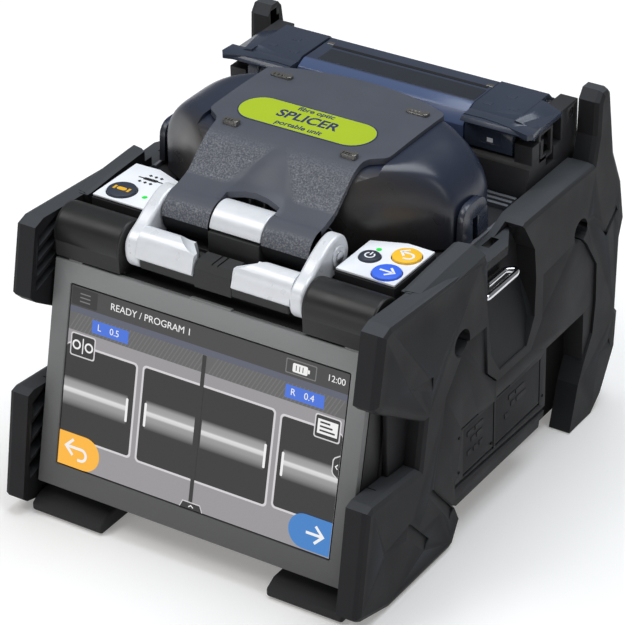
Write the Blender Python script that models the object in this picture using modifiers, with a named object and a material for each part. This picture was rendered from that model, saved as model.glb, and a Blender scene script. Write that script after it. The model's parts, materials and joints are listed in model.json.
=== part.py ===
"""Fiber fusion splicer: side bumpers, tilting monitor on a silver arm frame, front-hinged wind
cover, splice mechanism, rear tube heater and a battery that slides out at the back.

Lengths are millimetres in this file and the helpers turn them into metres.
+X is the operator's right, +Y points to the back and +Z up.
The origin is on the table under the middle of the machine.
"""
import math

import bmesh
import bpy
from mathutils import Matrix, Vector

MM = 0.001

# ---------------------------------------------------------------- driving dimensions
HALF_WIDTH = 70.5          # outer face of the side bumpers
GAP = 0.3                  # clearance between neighbouring pieces
BUMPER_INNER = 62.3        # inner face of the bumper side walls
RAIL_INNER = 60.6          # inner edge of the bumper top rails
BODY_HALF = 61.9           # half width of the body core
SHELL_T = 3.0              # wall of the body core
SHELL_FOOT = 6.0
BODY_BACK = 79.0
DECK_Z = 97.3              # top face of the upper deck
DECK_T = 4.2
BAY_HALF = 37.6            # the battery bay's mouth in the back wall
BAY_LOW = 12.9
BAY_HIGH = 52.1
FRONT_HOLE = (-23.9, 76.5, 4.9)    # y, z and radius of the round wells in the bumper's side
REAR_HOLE = (55.5, 79.5, 4.6)
WELL_FLOOR = 63.5

HINGE_Y = -40.8            # wind cover hinge and monitor arm pivot share one axis
HINGE_Z = 106.2
ROLL_R = 7.9
KNUCKLE_R = 8.4
KNUCKLE_HALF = 9.8
HINGE_BORE_R = 2.3
HINGE_PIN_R = 2.0

MONITOR_Y = -55.5          # monitor tilt axis through the two barrels
MONITOR_Z = 97.5
BARREL_R = 8.2
MONITOR_HALF = 61.3
MONITOR_TILT = math.radians(12.8)
MONITOR_FOOT = (0.0, -81.5, 10.9)
PLATE_H = 80.3
ARM_INNER = 29.0
ARM_OUTER = 34.4

PANEL_T = 2.2
PANEL_HALF = 34.8
PANEL_NECK = 28.3
SPLICE_Y = 2.5             # the fibre runs along X at this Y and Z
SPLICE_Z = 104.0
CLAMP_PIN_Y = 9.4          # hinge of the coating clamps
CLAMP_PIN_Z = 104.5

HEATER_Y = 65.5            # hinge of the heater lid and the two tube clamps
HEATER_Z = 117.5
HEATER_PIN_R = 1.5
HEATER_BORE_R = 1.85
LID_FRONT = 38.7
LID_TOP = 123.0
CLAMP_TOP = 123.4
HEATER_HALF = 60.2
LID_HALF = 33.7
CLAMP_INNER = 34.3
CLAMP_OUTER = 52.6

RING_X = 65.2              # strap ring pivot, along Y
RING_Z = 84.0
RING_WIRE_R = 0.9

KEY_FOOT = 100.0
KEY_TOP = 105.9
KEYS = {                   # x, y, radius
    "back_key": (52.4, -28.3, 4.85),
    "next_key": (52.3, -40.4, 4.85),
    "power_key": (42.3, -34.4, 3.55),
    "heater_key": (-51.1, -39.1, 5.1),
}
COVERS = {                 # low y, high y, low z, high z
    "output_cover": (-21.0, -1.2, 24.6, 41.4),
    "inlet_cover": (0.2, 30.2, 24.6, 41.4),
}

COLOURS = {                # base colour, roughness, metallic
    "bumper": ((0.030, 0.031, 0.034), 0.75, 0.0),
    "body": ((0.045, 0.045, 0.047), 0.6, 0.0),
    "deck": ((0.05, 0.05, 0.053), 0.55, 0.0),
    "hood": ((0.085, 0.095, 0.125), 0.45, 0.0),
    "dome": ((0.03, 0.035, 0.05), 0.2, 0.0),
    "silver": ((0.75, 0.76, 0.78), 0.3, 0.8),
    "steel": ((0.6, 0.6, 0.62), 0.3, 1.0),
    "white": ((0.85, 0.86, 0.88), 0.4, 0.0),
    "blue": ((0.07, 0.17, 0.9), 0.4, 0.0),
    "yellow": ((0.95, 0.6, 0.06), 0.4, 0.0),
    "dark_key": ((0.03, 0.035, 0.05), 0.4, 0.0),
    "screen": ((0.02, 0.02, 0.022), 0.15, 0.0),
    "smoke": ((0.05, 0.07, 0.13), 0.15, 0.0),
    "ceramic": ((0.85, 0.85, 0.82), 0.4, 0.0),
    "board": ((0.02, 0.12, 0.05), 0.5, 0.0),
    "rubber": ((0.02, 0.02, 0.02), 0.9, 0.0),
    "battery": ((0.04, 0.04, 0.045), 0.6, 0.0),
}


# ---------------------------------------------------------------- scene and helpers
def clear_scene():
    for old in list(bpy.data.objects):
        bpy.data.objects.remove(old, do_unlink=True)


def new_collection(name):
    found = bpy.data.collections.new(name)
    bpy.context.scene.collection.children.link(found)
    return found


clear_scene()
PARTS = new_collection("fiber_fusion_splicer")
CUTTERS = new_collection("cutters")


def material(name):
    found = bpy.data.materials.get(name)
    if found:
        return found
    colour, roughness, metallic = COLOURS[name]
    made = bpy.data.materials.new(name)
    made.use_nodes = True
    shader = made.node_tree.nodes["Principled BSDF"]
    shader.inputs["Base Color"].default_value = (*colour, 1.0)
    shader.inputs["Roughness"].default_value = roughness
    shader.inputs["Metallic"].default_value = metallic
    return made


def add_object(name, mesh, look=None):
    """Links a mesh as a part, or as a hidden wire cutter when it has no look."""
    made = bpy.data.objects.new(name, mesh)
    if look is None:
        CUTTERS.objects.link(made)
        made.hide_render = True
        made.display_type = "WIRE"
        return made
    PARTS.objects.link(made)
    mesh.materials.append(material(look))
    return made


def from_bmesh(name, bm, look):
    bmesh.ops.recalc_face_normals(bm, faces=bm.faces)
    mesh = bpy.data.meshes.new(name)
    bm.to_mesh(mesh)
    bm.free()
    return add_object(name, mesh, look)


def box(name, low, high, look=None):
    """An upright box between two corners."""
    low = Vector(low) * MM
    high = Vector(high) * MM
    bm = bmesh.new()
    bmesh.ops.create_cube(bm, size=1.0)
    bmesh.ops.scale(bm, vec=high - low, verts=bm.verts)
    made = from_bmesh(name, bm, look)
    made.location = (low + high) / 2
    return made


def rod(name, start, end, radius, look=None, sides=24, end_radius=None):
    """A cylinder or cone between two points."""
    start = Vector(start) * MM
    end = Vector(end) * MM
    tip = radius if end_radius is None else end_radius
    bm = bmesh.new()
    bmesh.ops.create_cone(bm, cap_ends=True, segments=sides, radius1=radius * MM,
                          radius2=tip * MM, depth=(end - start).length)
    made = from_bmesh(name, bm, look)
    made.location = (start + end) / 2
    made.rotation_mode = "QUATERNION"
    made.rotation_quaternion = (end - start).to_track_quat("Z", "Y")
    smooth(made)
    return made


# the two local axes of an outline and the axis it is extruded along
PLANES = {
    "YZ": Matrix(((0, 0, 1), (1, 0, 0), (0, 1, 0))).to_4x4(),
    "XY": Matrix.Identity(4),
}


def slab(name, outline, plane, low, high, look=None):
    """A flat outline, extruded from low to high along the axis normal to its plane."""
    curve = bpy.data.curves.new(name, "CURVE")
    curve.dimensions = "2D"
    curve.fill_mode = "BOTH"
    curve.extrude = (high - low) / 2 * MM
    spline = curve.splines.new("POLY")
    spline.points.add(len(outline) - 1)
    for point, (u, v) in zip(spline.points, outline):
        point.co = (u * MM, v * MM, 0.0, 1.0)
    spline.use_cyclic_u = True
    guide = bpy.data.objects.new(name + "_outline", curve)
    CUTTERS.objects.link(guide)
    shift = Matrix.Translation((0, 0, (low + high) / 2 * MM))
    guide.matrix_world = PLANES[plane] @ shift
    bpy.context.view_layer.update()
    mesh = bpy.data.meshes.new_from_object(guide.evaluated_get(
        bpy.context.evaluated_depsgraph_get()))
    place = guide.matrix_world.copy()
    bpy.data.objects.remove(guide, do_unlink=True)
    bm = bmesh.new()
    bm.from_mesh(mesh)
    bpy.data.meshes.remove(mesh)
    bmesh.ops.remove_doubles(bm, verts=bm.verts, dist=0.01 * MM)
    bmesh.ops.dissolve_limit(bm, angle_limit=math.radians(1), verts=bm.verts, edges=bm.edges)
    made = from_bmesh(name, bm, look)
    made.matrix_world = place
    return made


def boolean(target, tool, operation):
    """Applies one Boolean at once and removes the tool."""
    step = target.modifiers.new(operation.lower(), "BOOLEAN")
    step.operation = operation
    step.solver = "EXACT"
    step.object = tool
    bpy.context.view_layer.update()
    depsgraph = bpy.context.evaluated_depsgraph_get()
    mesh = bpy.data.meshes.new_from_object(target.evaluated_get(depsgraph))
    bm = bmesh.new()
    bm.from_mesh(mesh)
    bmesh.ops.remove_doubles(bm, verts=bm.verts, dist=0.004 * MM)
    bmesh.ops.dissolve_degenerate(bm, dist=0.002 * MM, edges=bm.edges)
    bm.to_mesh(mesh)
    bm.free()
    target.modifiers.clear()
    target.data = mesh
    bpy.data.objects.remove(tool, do_unlink=True)
    return target


def cut(target, *tools):
    for tool in tools:
        boolean(target, tool, "DIFFERENCE")
    return target


def join(target, *others):
    for other in others:
        boolean(target, other, "UNION")
    return target


def smooth(made, angle=35):
    made.data.shade_smooth()
    made.data.set_sharp_from_angle(angle=math.radians(angle))


def round_edges(made, width, segments=1, angle=40):
    """Bevels the sharp edges of a finished solid."""
    bevel = made.modifiers.new("rounding", "BEVEL")
    bevel.width = width * MM
    bevel.segments = segments
    bevel.limit_method = "ANGLE"
    bevel.angle_limit = math.radians(angle)
    bevel.harden_normals = False
    return made


def round_chosen(made, width, segments, chosen):
    """Bevels only the edges whose middle, in millimetres, passes the test."""
    bm = bmesh.new()
    bm.from_mesh(made.data)
    place = made.matrix_world
    edges = []
    for edge in bm.edges:
        middle = place @ ((edge.verts[0].co + edge.verts[1].co) / 2)
        if chosen(middle / MM):
            edges.append(edge)
    bmesh.ops.bevel(bm, geom=edges, offset=width * MM, segments=segments, profile=0.5,
                    affect="EDGES", clamp_overlap=True)
    bm.to_mesh(made.data)
    bm.free()
    return made


def arc(centre, radius, start, end, steps):
    """Points on an arc, angles in degrees from the outline's first axis."""
    points = []
    for step in range(steps + 1):
        angle = math.radians(start + (end - start) * step / steps)
        points.append((centre[0] + radius * math.cos(angle), centre[1] + radius * math.sin(angle)))
    return points


def mirrored(outline):
    return [(-u, v) for u, v in reversed(outline)]


def span(side, low, high):
    """The X range of a piece on the right (+1) or the left (-1)."""
    return (low, high) if side > 0 else (-high, -low)


def hang(pivot_name, pivot, *pieces, parent=None):
    """Parents pieces to an empty on their joint's axis and leaves them where they are."""
    empty = bpy.data.objects.new(pivot_name, None)
    PARTS.objects.link(empty)
    empty.empty_display_size = 0.01
    if parent is not None:
        empty.parent = parent
        empty.location = Vector(pivot) * MM - parent.matrix_world.translation
    else:
        empty.location = Vector(pivot) * MM
    bpy.context.view_layer.update()
    for piece in pieces:
        piece.parent = empty
        piece.matrix_parent_inverse = empty.matrix_world.inverted()
    return empty


SIDES = (("left", -1), ("right", 1))


# ---------------------------------------------------------------- bumpers and side panels
BUMPER_OUTLINE = [
    (-71.9, 103.4), (-77.1, 79.3), (-74.0, 76.3), (-47.0, 58.8), (-50.1, 42.5), (-78.5, 45.0),
    (-81.8, 44.0), (-88.5, 6.4), (-86.4, 4.6), (-68.9, 0.0), (-30.9, 0.0), (-25.2, 9.2),
    (-28.1, 15.3), (-41.2, 29.9), (-34.1, 61.4), (-21.2, 75.2), (-8.2, 74.6), (-7.1, 56.2),
    (-0.3, 49.8), (22.0, 49.8), (29.6, 58.4), (29.6, 75.4), (55.5, 77.5), (60.1, 72.5),
    (68.1, 60.7), (68.4, 45.8), (66.7, 33.3), (61.0, 24.4), (57.1, 17.0), (51.8, 0.0),
    (71.0, 0.0), (75.8, 3.6), (85.3, 18.7), (86.5, 32.8), (84.8, 34.8), (85.9, 62.5),
    (88.5, 69.5), (85.4, 85.2), (79.0, 99.4), (74.9, 124.1), (73.0, 126.3), (69.0, 126.3),
    (66.4, 122.9), (65.8, 110.6), (63.3, 101.7), (-12.7, 101.6), (-37.8, 103.4), (-67.2, 105.0),
]
RAIL_OUTLINE = [(-45.5, 97.6), (63.0, 97.6), (63.0, 101.7), (-12.7, 101.6), (-45.5, 103.8)]
SCOOP_OUTLINE = [(-8.6, 104.0), (-8.0, 81.0), (-5.0, 62.0), (1.0, 53.0), (19.0, 53.0),
                 (24.0, 62.0), (24.6, 76.6), (23.2, 88.3), (13.0, 104.0)]


def rib_pockets(low_z, high_z, front_low, front_high):
    """Slanted pockets in the inner face of a front block, leaving ribs between them."""
    pockets = []
    count = 4
    length, rise, rib = 11.0, 4.0, 1.6
    pitch = (high_z - low_z) / count
    for index in range(count):
        base = low_z + index * pitch
        front = front_low + (front_high - front_low) * index / count
        top = base + pitch - rib
        outline = [(front, base), (front + length, base + rise), (front + length, top + rise), (front, top)]
        pockets.append(slab("pocket", outline, "YZ", 61.0, 65.6))
    return pockets


def scoop():
    """The hollow around the strap ring, deep at the top and running out lower down."""
    floor_x, bend_z, slope = 63.4, 78.0, 0.26
    made = slab("scoop", SCOOP_OUTLINE, "YZ", floor_x, 72.0)
    place = made.matrix_world
    back = place.inverted()
    bm = bmesh.new()
    bm.from_mesh(made.data)
    everything = bm.verts[:] + bm.edges[:] + bm.faces[:]
    bmesh.ops.bisect_plane(bm, geom=everything, plane_co=back @ Vector((0, 0, bend_z * MM)),
                           plane_no=back.to_3x3() @ Vector((0, 0, 1)))
    for vert in bm.verts:
        point = place @ vert.co
        if point.x < 68 * MM:
            point.x = (floor_x + max(0.0, bend_z - point.z / MM) * slope) * MM
            vert.co = back @ point
    bm.to_mesh(made.data)
    bm.free()
    return made


def is_outer_rim(middle):
    """The outer edges that show: the front and rear blocks and the top, but not around the side panel."""
    on_face = middle.x > HALF_WIDTH - 0.1
    shows = middle.y < -43 or middle.y > 62 or middle.z > 100
    panel_side = -28 < middle.y < 57 and middle.z < 100
    rear_leg = 50 < middle.y < 69 and middle.z < 79
    return on_face and shows and not panel_side and not rear_leg


def side_wells(side):
    """Cutters for the two round wells that run from the bumper into its side panel."""
    wells = []
    for y, z, radius in (FRONT_HOLE, REAR_HOLE):
        wells.append(rod("side_well", (side * WELL_FLOOR, y, z), (side * 72, y, z), radius))
    return wells


def build_bumper():
    """The right bumper; the left one is its mirror image."""
    made = slab("bumper_right", BUMPER_OUTLINE, "YZ", BUMPER_INNER, HALF_WIDTH, "bumper")
    join(made, slab("rail", RAIL_OUTLINE, "YZ", RAIL_INNER, 64.0))
    round_chosen(made, 2.2, 2, is_outer_rim)
    cut(made, scoop())
    join(made, box("lug", (63.2, -4.4, 81.6), (67.2, -1.0, 86.4)))
    bore_r = RING_WIRE_R + 0.35
    cut(made, rod("bore", (RING_X, -8.7, RING_Z), (RING_X, 1.3, RING_Z), bore_r, sides=16))
    cut(made, *rib_pockets(80.5, 101.0, -73.5, -69.5))
    cut(made, *rib_pockets(12.5, 42.0, -84.0, -78.5))
    cut(made, *side_wells(1))
    cut(made, box("rail_slot", (61.9, 0.0, 98.6), (63.0, 4.6, 103.0)))
    cut(made, box("horn_slot", (61.0, 69.3, 106.0), (66.5, 73.4, 121.5)))
    smooth(made)
    return made


def mirror_copy(made, name, look):
    """A mirror image of a finished piece on the machine's other side."""
    bm = bmesh.new()
    bm.from_mesh(made.data)
    bmesh.ops.transform(bm, matrix=Matrix.Diagonal((-1, 1, 1, 1)) @ made.matrix_world, verts=bm.verts)
    bmesh.ops.reverse_faces(bm, faces=bm.faces)
    copy = from_bmesh(name, bm, look)
    smooth(copy)
    return copy


def ordered(side, low, high):
    """Mirrors a box's corners to the asked side."""
    if side > 0:
        return low, high
    return (-high[0], low[1], low[2]), (-low[0], high[1], high[2])


SIDE_PANEL_OUTLINE = [
    (-23.8, 12.8), (32.3, 12.8), (34.5, 20.8), (34.5, 43.8), (60.9, 44.2), (60.9, 25.4),
    (66.2, 33.6), (68.0, 45.9), (67.7, 60.5), (59.8, 72.2), (55.2, 77.0), (30.0, 75.0),
    (30.0, 58.2), (22.2, 49.4), (-0.5, 49.4), (-7.5, 56.0), (-8.6, 74.2), (-21.0, 74.7),
    (-33.7, 61.3), (-40.8, 30.0), (-27.8, 15.6),
]


def build_side_panel(word, side):
    low, high = span(side, BUMPER_INNER, 69.7)
    made = slab("side_panel_" + word, SIDE_PANEL_OUTLINE, "YZ", low, high, "bumper")
    cut(made, *side_wells(side))
    step = [(-30.0, 12.0), (36.0, 12.0), (36.0, 17.0), (-26.0, 17.0)]
    cut(made, slab("step", step, "YZ", *span(side, 68.6, 72.0)))
    if side > 0:
        for low_y, high_y, low_z, high_z in COVERS.values():
            cut(made, box("recess", (67.2, low_y - GAP, low_z - 1.6), (72, high_y + GAP, high_z + GAP)))
        cut(made, box("inlet_well", (61, 8, 27), (69, 24, 39)))
    smooth(made)
    return made


def build_port_cover(name):
    """A flap with its hinge roll along the bottom edge."""
    low_y, high_y, low_z, high_z = COVERS[name]
    made = box(name, (67.7, low_y, low_z - 0.6), (69.5, high_y, high_z), "bumper")
    join(made, rod("roll", (68.5, low_y, low_z), (68.5, high_y, low_z), 1.1, sides=12))
    smooth(made)
    return made


def build_strap_ring(word, side):
    """A closed wire loop, lying level in the scoop."""
    low_y, high_y, outer = -6.2, 15.0, 69.6
    corners = [(RING_X, low_y), (outer, low_y), (outer, high_y - 2.0), (outer - 1.2, high_y),
               (RING_X, high_y - 2.5)]
    curve = bpy.data.curves.new("strap_ring_" + word, "CURVE")
    curve.dimensions = "3D"
    curve.bevel_depth = RING_WIRE_R * MM
    curve.bevel_resolution = 2
    spline = curve.splines.new("POLY")
    spline.points.add(len(corners) - 1)
    for point, (x, y) in zip(spline.points, corners):
        point.co = (side * x * MM, y * MM, RING_Z * MM, 1.0)
    spline.use_cyclic_u = True
    made = bpy.data.objects.new("strap_ring_" + word, curve)
    PARTS.objects.link(made)
    curve.materials.append(material("steel"))
    return made


# ---------------------------------------------------------------- body core
def build_base_shell():
    """The tub behind the monitor, open at the top, with the battery bay at the back."""
    top = DECK_Z - DECK_T - GAP
    outer = [(-68.9, SHELL_FOOT), (BODY_BACK, SHELL_FOOT), (BODY_BACK, top), (-46.3, top), (-46.3, 86.0),
             (-51.3, 83.6)]
    floor = SHELL_FOOT + SHELL_T
    back = BODY_BACK - SHELL_T
    inner = [(-65.0, floor), (back, floor), (back, 95.0), (-43.3, 95.0), (-43.3, 84.5), (-48.5, 81.7)]
    made = slab("base_shell", outer, "YZ", -BODY_HALF, BODY_HALF, "body")
    cut(made, slab("cavity", inner, "YZ", -BODY_HALF + SHELL_T, BODY_HALF - SHELL_T))
    cut(made, box("bay_mouth", (-BAY_HALF, 70, BAY_LOW), (BAY_HALF, 85, BAY_HIGH)))
    cut(made, box("inlet_mouth", (50, 8, 27), (65, 24, 39)))
    return made


def build_top_deck():
    made = box("top_deck", (-BODY_HALF, -46.3, DECK_Z - DECK_T), (BODY_HALF, BODY_BACK, DECK_Z), "deck")
    cut(made, box("well", (-49, -17, 90), (49, 23, 100)))
    return made


def build_rear_panel():
    vents, vent_pitch, vent_height, vent_foot = 5, 4.6, 2.0, 66.0
    made = box("rear_panel", (-BODY_HALF, BODY_BACK + GAP, SHELL_FOOT), (BODY_HALF, 82.0, DECK_Z), "body")
    cut(made, box("bay_mouth", (-BAY_HALF, 78, BAY_LOW), (BAY_HALF, 84, BAY_HIGH)))
    for side in (-1, 1):
        for row in range(vents):
            low = vent_foot + row * vent_pitch
            cut(made, box("vent", *ordered(side, (22, 78, low), (50, 84, low + vent_height))))
    return made


def build_front_foot(word, side):
    low, high = span(side, 33.0, 61.9)
    outline = [(-84.6, 0.6), (-83.4, 0.0), (-45.0, 0.0), (-45.0, 5.7), (-80.0, 5.7), (-84.6, 3.4)]
    return slab("front_foot_" + word, outline, "YZ", low, high, "rubber")


def build_rear_foot(word, side):
    made = box("rear_foot_" + word, *ordered(side, (40, 50, 0), (58, 72, 5.7)), "rubber")
    return round_edges(made, 0.8)


def build_battery():
    clearance = 0.4
    low = (-BAY_HALF + clearance, -4.0, BAY_LOW + clearance)
    high = (BAY_HALF - clearance, 81.8, BAY_HIGH - clearance)
    made = box("battery_pack", low, high, "battery")
    return round_edges(made, 1.5, 2)


def build_battery_latch():
    made = box("battery_latch", (-9, 82.3, 53.0), (9, 84.6, 60.0), "rubber")
    cut(made, box("grip", (-6, 83.8, 55.0), (6, 86, 56.4)))
    cut(made, box("grip", (-6, 83.8, 57.2), (6, 86, 58.6)))
    return made


def build_inlet():
    """The round mains adapter inlet behind its cover."""
    made = rod("dc_inlet", (54.0, 16, 33), (67.0, 16, 33), 5.2, "steel")
    cut(made, rod("mouth", (57.0, 16, 33), (69.0, 16, 33), 3.4))
    join(made, rod("contact", (56.0, 16, 33), (65.0, 16, 33), 1.0, sides=12))
    smooth(made)
    return made


# ---------------------------------------------------------------- splice mechanism
def build_chassis():
    made = box("splice_chassis", (-54, -24, 84.0), (54, 29, 92.7), "steel")
    cut(made, box("light_well", (-7, -17, 80), (7, 22, 95)))
    return made


def build_v_groove():
    made = box("v_groove_block", (-11, -4.5, 93.0), (11, 9.5, 103.4), "ceramic")
    cut(made, box("light_gap", (-2.2, -6, 97.0), (2.2, 11, 106)))
    groove = [(SPLICE_Y - 1.2, 104.2), (SPLICE_Y, 102.6), (SPLICE_Y + 1.2, 104.2)]
    cut(made, slab("groove", groove, "YZ", -13, 13))
    return made


def build_electrode(word, side):
    """A holder with a rod whose point stops short of the fibre."""
    far = SPLICE_Y + side * 17.5
    near = SPLICE_Y + side * 10.0
    low_y, high_y = sorted((far, near))
    made = box("electrode_" + word, (-4.5, low_y, 93.0), (4.5, high_y, 106.0), "steel")
    shoulder = (0, SPLICE_Y + side * 5.0, SPLICE_Z)
    join(made, rod("rod", (0, near + side * 2, SPLICE_Z), shoulder, 1.0, sides=16))
    root = (0, SPLICE_Y + side * 5.6, SPLICE_Z)
    tip = (0, SPLICE_Y + side * 1.8, SPLICE_Z)
    join(made, rod("point", root, tip, 0.95, sides=16, end_radius=0.1))
    smooth(made)
    return made


def build_microscope(word, side):
    """An objective that looks up at the fibre from below, 30 degrees off vertical."""
    lean = math.radians(30)

    def along(distance):
        return (0, SPLICE_Y + side * distance * math.sin(lean), SPLICE_Z - distance * math.cos(lean))

    made = rod("microscope_" + word, along(40), along(24), 5.0, "steel")
    join(made, rod("nose", along(26), along(18), 3.6))
    smooth(made)
    return made


def build_fibre_stage(word, side):
    made = box("fibre_stage_" + word, *ordered(side, (22, -7.5, 93.0), (46, 12.5, 102.3)), "deck")
    groove = [(SPLICE_Y - 1.4, 103.0), (SPLICE_Y, 101.2), (SPLICE_Y + 1.4, 103.0)]
    cut(made, slab("groove", groove, "YZ", *span(side, 20, 48)))
    return made


def build_coating_clamp(word, side):
    """A small lid that holds the fibre's coating down on the stage."""
    made = box("coating_clamp_" + word, *ordered(side, (25, -3.5, 102.7), (43, 9.0, 105.8)), "deck")
    low, high = span(side, 25, 43)
    barrel_low, barrel_high = (low, CLAMP_PIN_Y, CLAMP_PIN_Z), (high, CLAMP_PIN_Y, CLAMP_PIN_Z)
    join(made, rod("barrel", barrel_low, barrel_high, 1.7, sides=16))
    cut(made, box("finger", *ordered(side, (31, -4.5, 104.6), (37, -1.5, 107))))
    smooth(made)
    return made


# ---------------------------------------------------------------- keypads
def keypad_outline(side, inset):
    inner, outer, front = 36.3 + inset, 58.6 - inset, -46.0 + inset
    outline = [(inner, front), (outer, front), (outer, -20.6 - inset), (48.4, -20.3 - inset),
               (inner, -24.8 - inset)]
    return outline if side > 0 else mirrored(outline)


def keys_on(side):
    return [spot for spot in KEYS.values() if spot[0] * side > 0]


def build_keypad_housing(word, side):
    made = slab("keypad_housing_" + word, keypad_outline(side, 0.0), "XY", 97.6, 104.1, "deck")
    for x, y, radius in keys_on(side):
        cut(made, rod("key_hole", (x, y, 99.0), (x, y, 106.0), radius + GAP, sides=32))
    return made


def build_key_plate(word, side):
    made = slab("key_plate_" + word, keypad_outline(side, GAP), "XY", 104.4, 105.2, "white")
    for x, y, radius in keys_on(side):
        cut(made, rod("key_hole", (x, y, 103.0), (x, y, 106.0), radius + GAP, sides=32))
    return made


def build_key(name, look):
    x, y, radius = KEYS[name]
    return rod(name, (x, y, KEY_FOOT), (x, y, KEY_TOP), radius, look, sides=32)


# ---------------------------------------------------------------- front hinge
def build_hinge_block():
    made = box("hinge_block", (-9.9, -49.2, 97.6), (9.9, -31.4, 106.5), "body")
    join(made, rod("core", (-9.9, HINGE_Y, HINGE_Z), (9.9, HINGE_Y, HINGE_Z), 6.2))
    cut(made, rod("bore", (-12, HINGE_Y, HINGE_Z), (12, HINGE_Y, HINGE_Z), HINGE_BORE_R, sides=16))
    smooth(made)
    return made


def build_knuckle():
    """The silver half barrel over the middle of the hinge."""
    centre = (HINGE_Y, HINGE_Z)
    outline = arc(centre, KNUCKLE_R, 5, 175, 14) + arc(centre, 6.5, 173, 7, 12)
    made = slab("hinge_knuckle", outline, "YZ", -KNUCKLE_HALF, KNUCKLE_HALF, "silver")
    smooth(made)
    return made


def build_hinge_pin():
    low, high = (-35.4, HINGE_Y, HINGE_Z), (35.4, HINGE_Y, HINGE_Z)
    return rod("hinge_pin", low, high, HINGE_PIN_R, "steel", sides=16)


# ---------------------------------------------------------------- wind cover
PANEL_TOP = [(HINGE_Y, 114.1), (-37.5, 114.8), (-32.5, 116.8), (-26.5, 121.5), (-21.5, 125.2),
             (-15.5, 127.2), (-6.5, 127.7), (9.0, 127.9), (24.0, 127.7), (36.0, 127.2)]


def panel_profile(drop):
    return [(y, z - drop) for y, z in PANEL_TOP]


def panel_plan():
    """The cover's outline from above: a neck at the hinge, wide shoulders, a bowed back edge."""
    right = [(PANEL_NECK, HINGE_Y - 2), (PANEL_NECK, -17.0), (29.5, -13.5), (PANEL_HALF, -9.0),
             (PANEL_HALF, 25.5), (25.0, 29.3), (12.5, 32.2), (0.0, 33.2)]
    left = [(-x, y) for x, y in reversed(right[:-1])]
    return right + left


def build_hood_panel():
    profile = panel_profile(0.0) + list(reversed(panel_profile(PANEL_T)))
    made = slab("hood_panel", profile, "YZ", -40, 40, "hood")
    plan = slab("plan", panel_plan(), "XY", 90, 140)
    boolean(made, plan, "INTERSECT")
    for side in (-1, 1):
        low, high = span(side, 10.3, PANEL_NECK)
        join(made, rod("roll", (low, HINGE_Y, HINGE_Z), (high, HINGE_Y, HINGE_Z), ROLL_R, sides=32))
    relief = [(10.3, -52.0), (10.3, -35.0), (5.5, -32.2), (0, -31.2)]
    relief += [(-x, y) for x, y in reversed(relief[:-1])]
    cut(made, slab("relief", relief, "XY", 95, 130))
    cut(made, rod("bore", (-40, HINGE_Y, HINGE_Z), (40, HINGE_Y, HINGE_Z), HINGE_BORE_R, sides=16))
    for x, y, length, foot in ((26.2, 19.1, 7.0, 126.6), (22.8, -17.8, 5.6, 125.2)):
        for side in (-1, 1):
            low = (side * x - length / 2, y - 1.6, foot)
            high = (side * x + length / 2, y + 1.6, 129.0)
            join(made, box("boss", low, high))
    smooth(made)
    return made


DOME_FOOT = 98.4
DOME_TOP = 126.2
DOME_ROOF = 122.4
DOME_PLAN = [(28.0, -27.0), (36.0, -24.0), (48.0, -19.5), (55.0, -17.0), (57.0, -12.0), (57.0, 26.0),
             (54.0, 31.0), (44.0, 33.5)]
DOME_HOLLOW = [(34.0, -14.0), (38.0, -20.5), (53.0, -14.8), (55.0, -10.0), (55.0, 25.5), (52.0, 29.0),
               (44.0, 31.3)]


def both_sides(right):
    """A plan's right half with its mirror image."""
    return right + [(-x, y) for x, y in reversed(right)]


def build_hood_shell():
    """The smoky shell with a dome on each side, open underneath."""
    made = slab("hood_shell", both_sides(DOME_PLAN), "XY", DOME_FOOT, DOME_TOP, "dome")
    round_chosen(made, 13.5, 5, lambda middle: middle.z > DOME_TOP - 0.1)
    hollow = slab("hollow", both_sides(DOME_HOLLOW), "XY", 90, DOME_ROOF)
    round_chosen(hollow, 9.0, 3, lambda middle: middle.z > DOME_ROOF - 0.1)
    cut(made, hollow)
    cut(made, box("front_hollow", (-30, -22.5, 90), (30, -13.0, 114.5)))
    over = panel_profile(PANEL_T + GAP)
    back_y, sky_z = 40.0, 140.0
    trench = over + [(back_y, over[-1][1]), (back_y, sky_z), (HINGE_Y, sky_z)]
    cut(made, slab("trench", trench, "YZ", -PANEL_HALF - GAP, PANEL_HALF + GAP))
    for side in (-1, 1):
        cut(made, box("fibre_slot", *ordered(side, (50, 0.9, 97.0), (60, 4.1, 107.0))))
    smooth(made)
    return made


def build_fibre_guide(word, side):
    """The oblong boss on the dome's side with the slot that the fibre leaves through."""
    outline = [(-6.0, 99.2), (11.0, 99.2), (10.2, 108.0)] + arc((4.9, 108.0), 5.0, 0, 90, 4)
    outline += arc((-0.4, 108.0), 5.0, 90, 180, 4)
    made = slab("fibre_guide_" + word, outline, "YZ", *span(side, 57.3, 59.6), "dome")
    cut(made, box("slot", *ordered(side, (56, 0.9, 98.0), (61, 4.1, 107.0))))
    smooth(made)
    return made


def build_presser():
    """Two pads under the cover that press the fibres into the grooves."""
    made = box("fibre_presser", (-9.5, -1.5, 112.0), (9.5, 6.5, 122.0), "body")
    for side in (-1, 1):
        join(made, box("pad", *ordered(side, (4.0, 1.2, 104.8), (9.0, 3.8, 113.0))))
    return made


# ---------------------------------------------------------------- monitor arm
ARM_OUTLINE = [
    (-61.7, 96.0), (-59.8, 92.6), (-55.5, 91.2), (-51.0, 92.6), (-47.5, 97.0), (-43.8, 99.4),
    (-38.5, 99.9), (-35.0, 102.3), (-33.9, 106.2), (-35.4, 110.6), (-38.6, 112.7), (-43.6, 112.4),
    (-50.0, 109.4), (-55.0, 106.2), (-59.2, 104.0), (-61.6, 101.0),
]
BAR_OUTLINE = [(-61.4, 97.3), (-51.9, 97.3), (-51.9, 101.4), (-54.6, 104.2), (-57.4, 104.4), (-59.8, 103.2),
               (-61.2, 100.9)]


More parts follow.
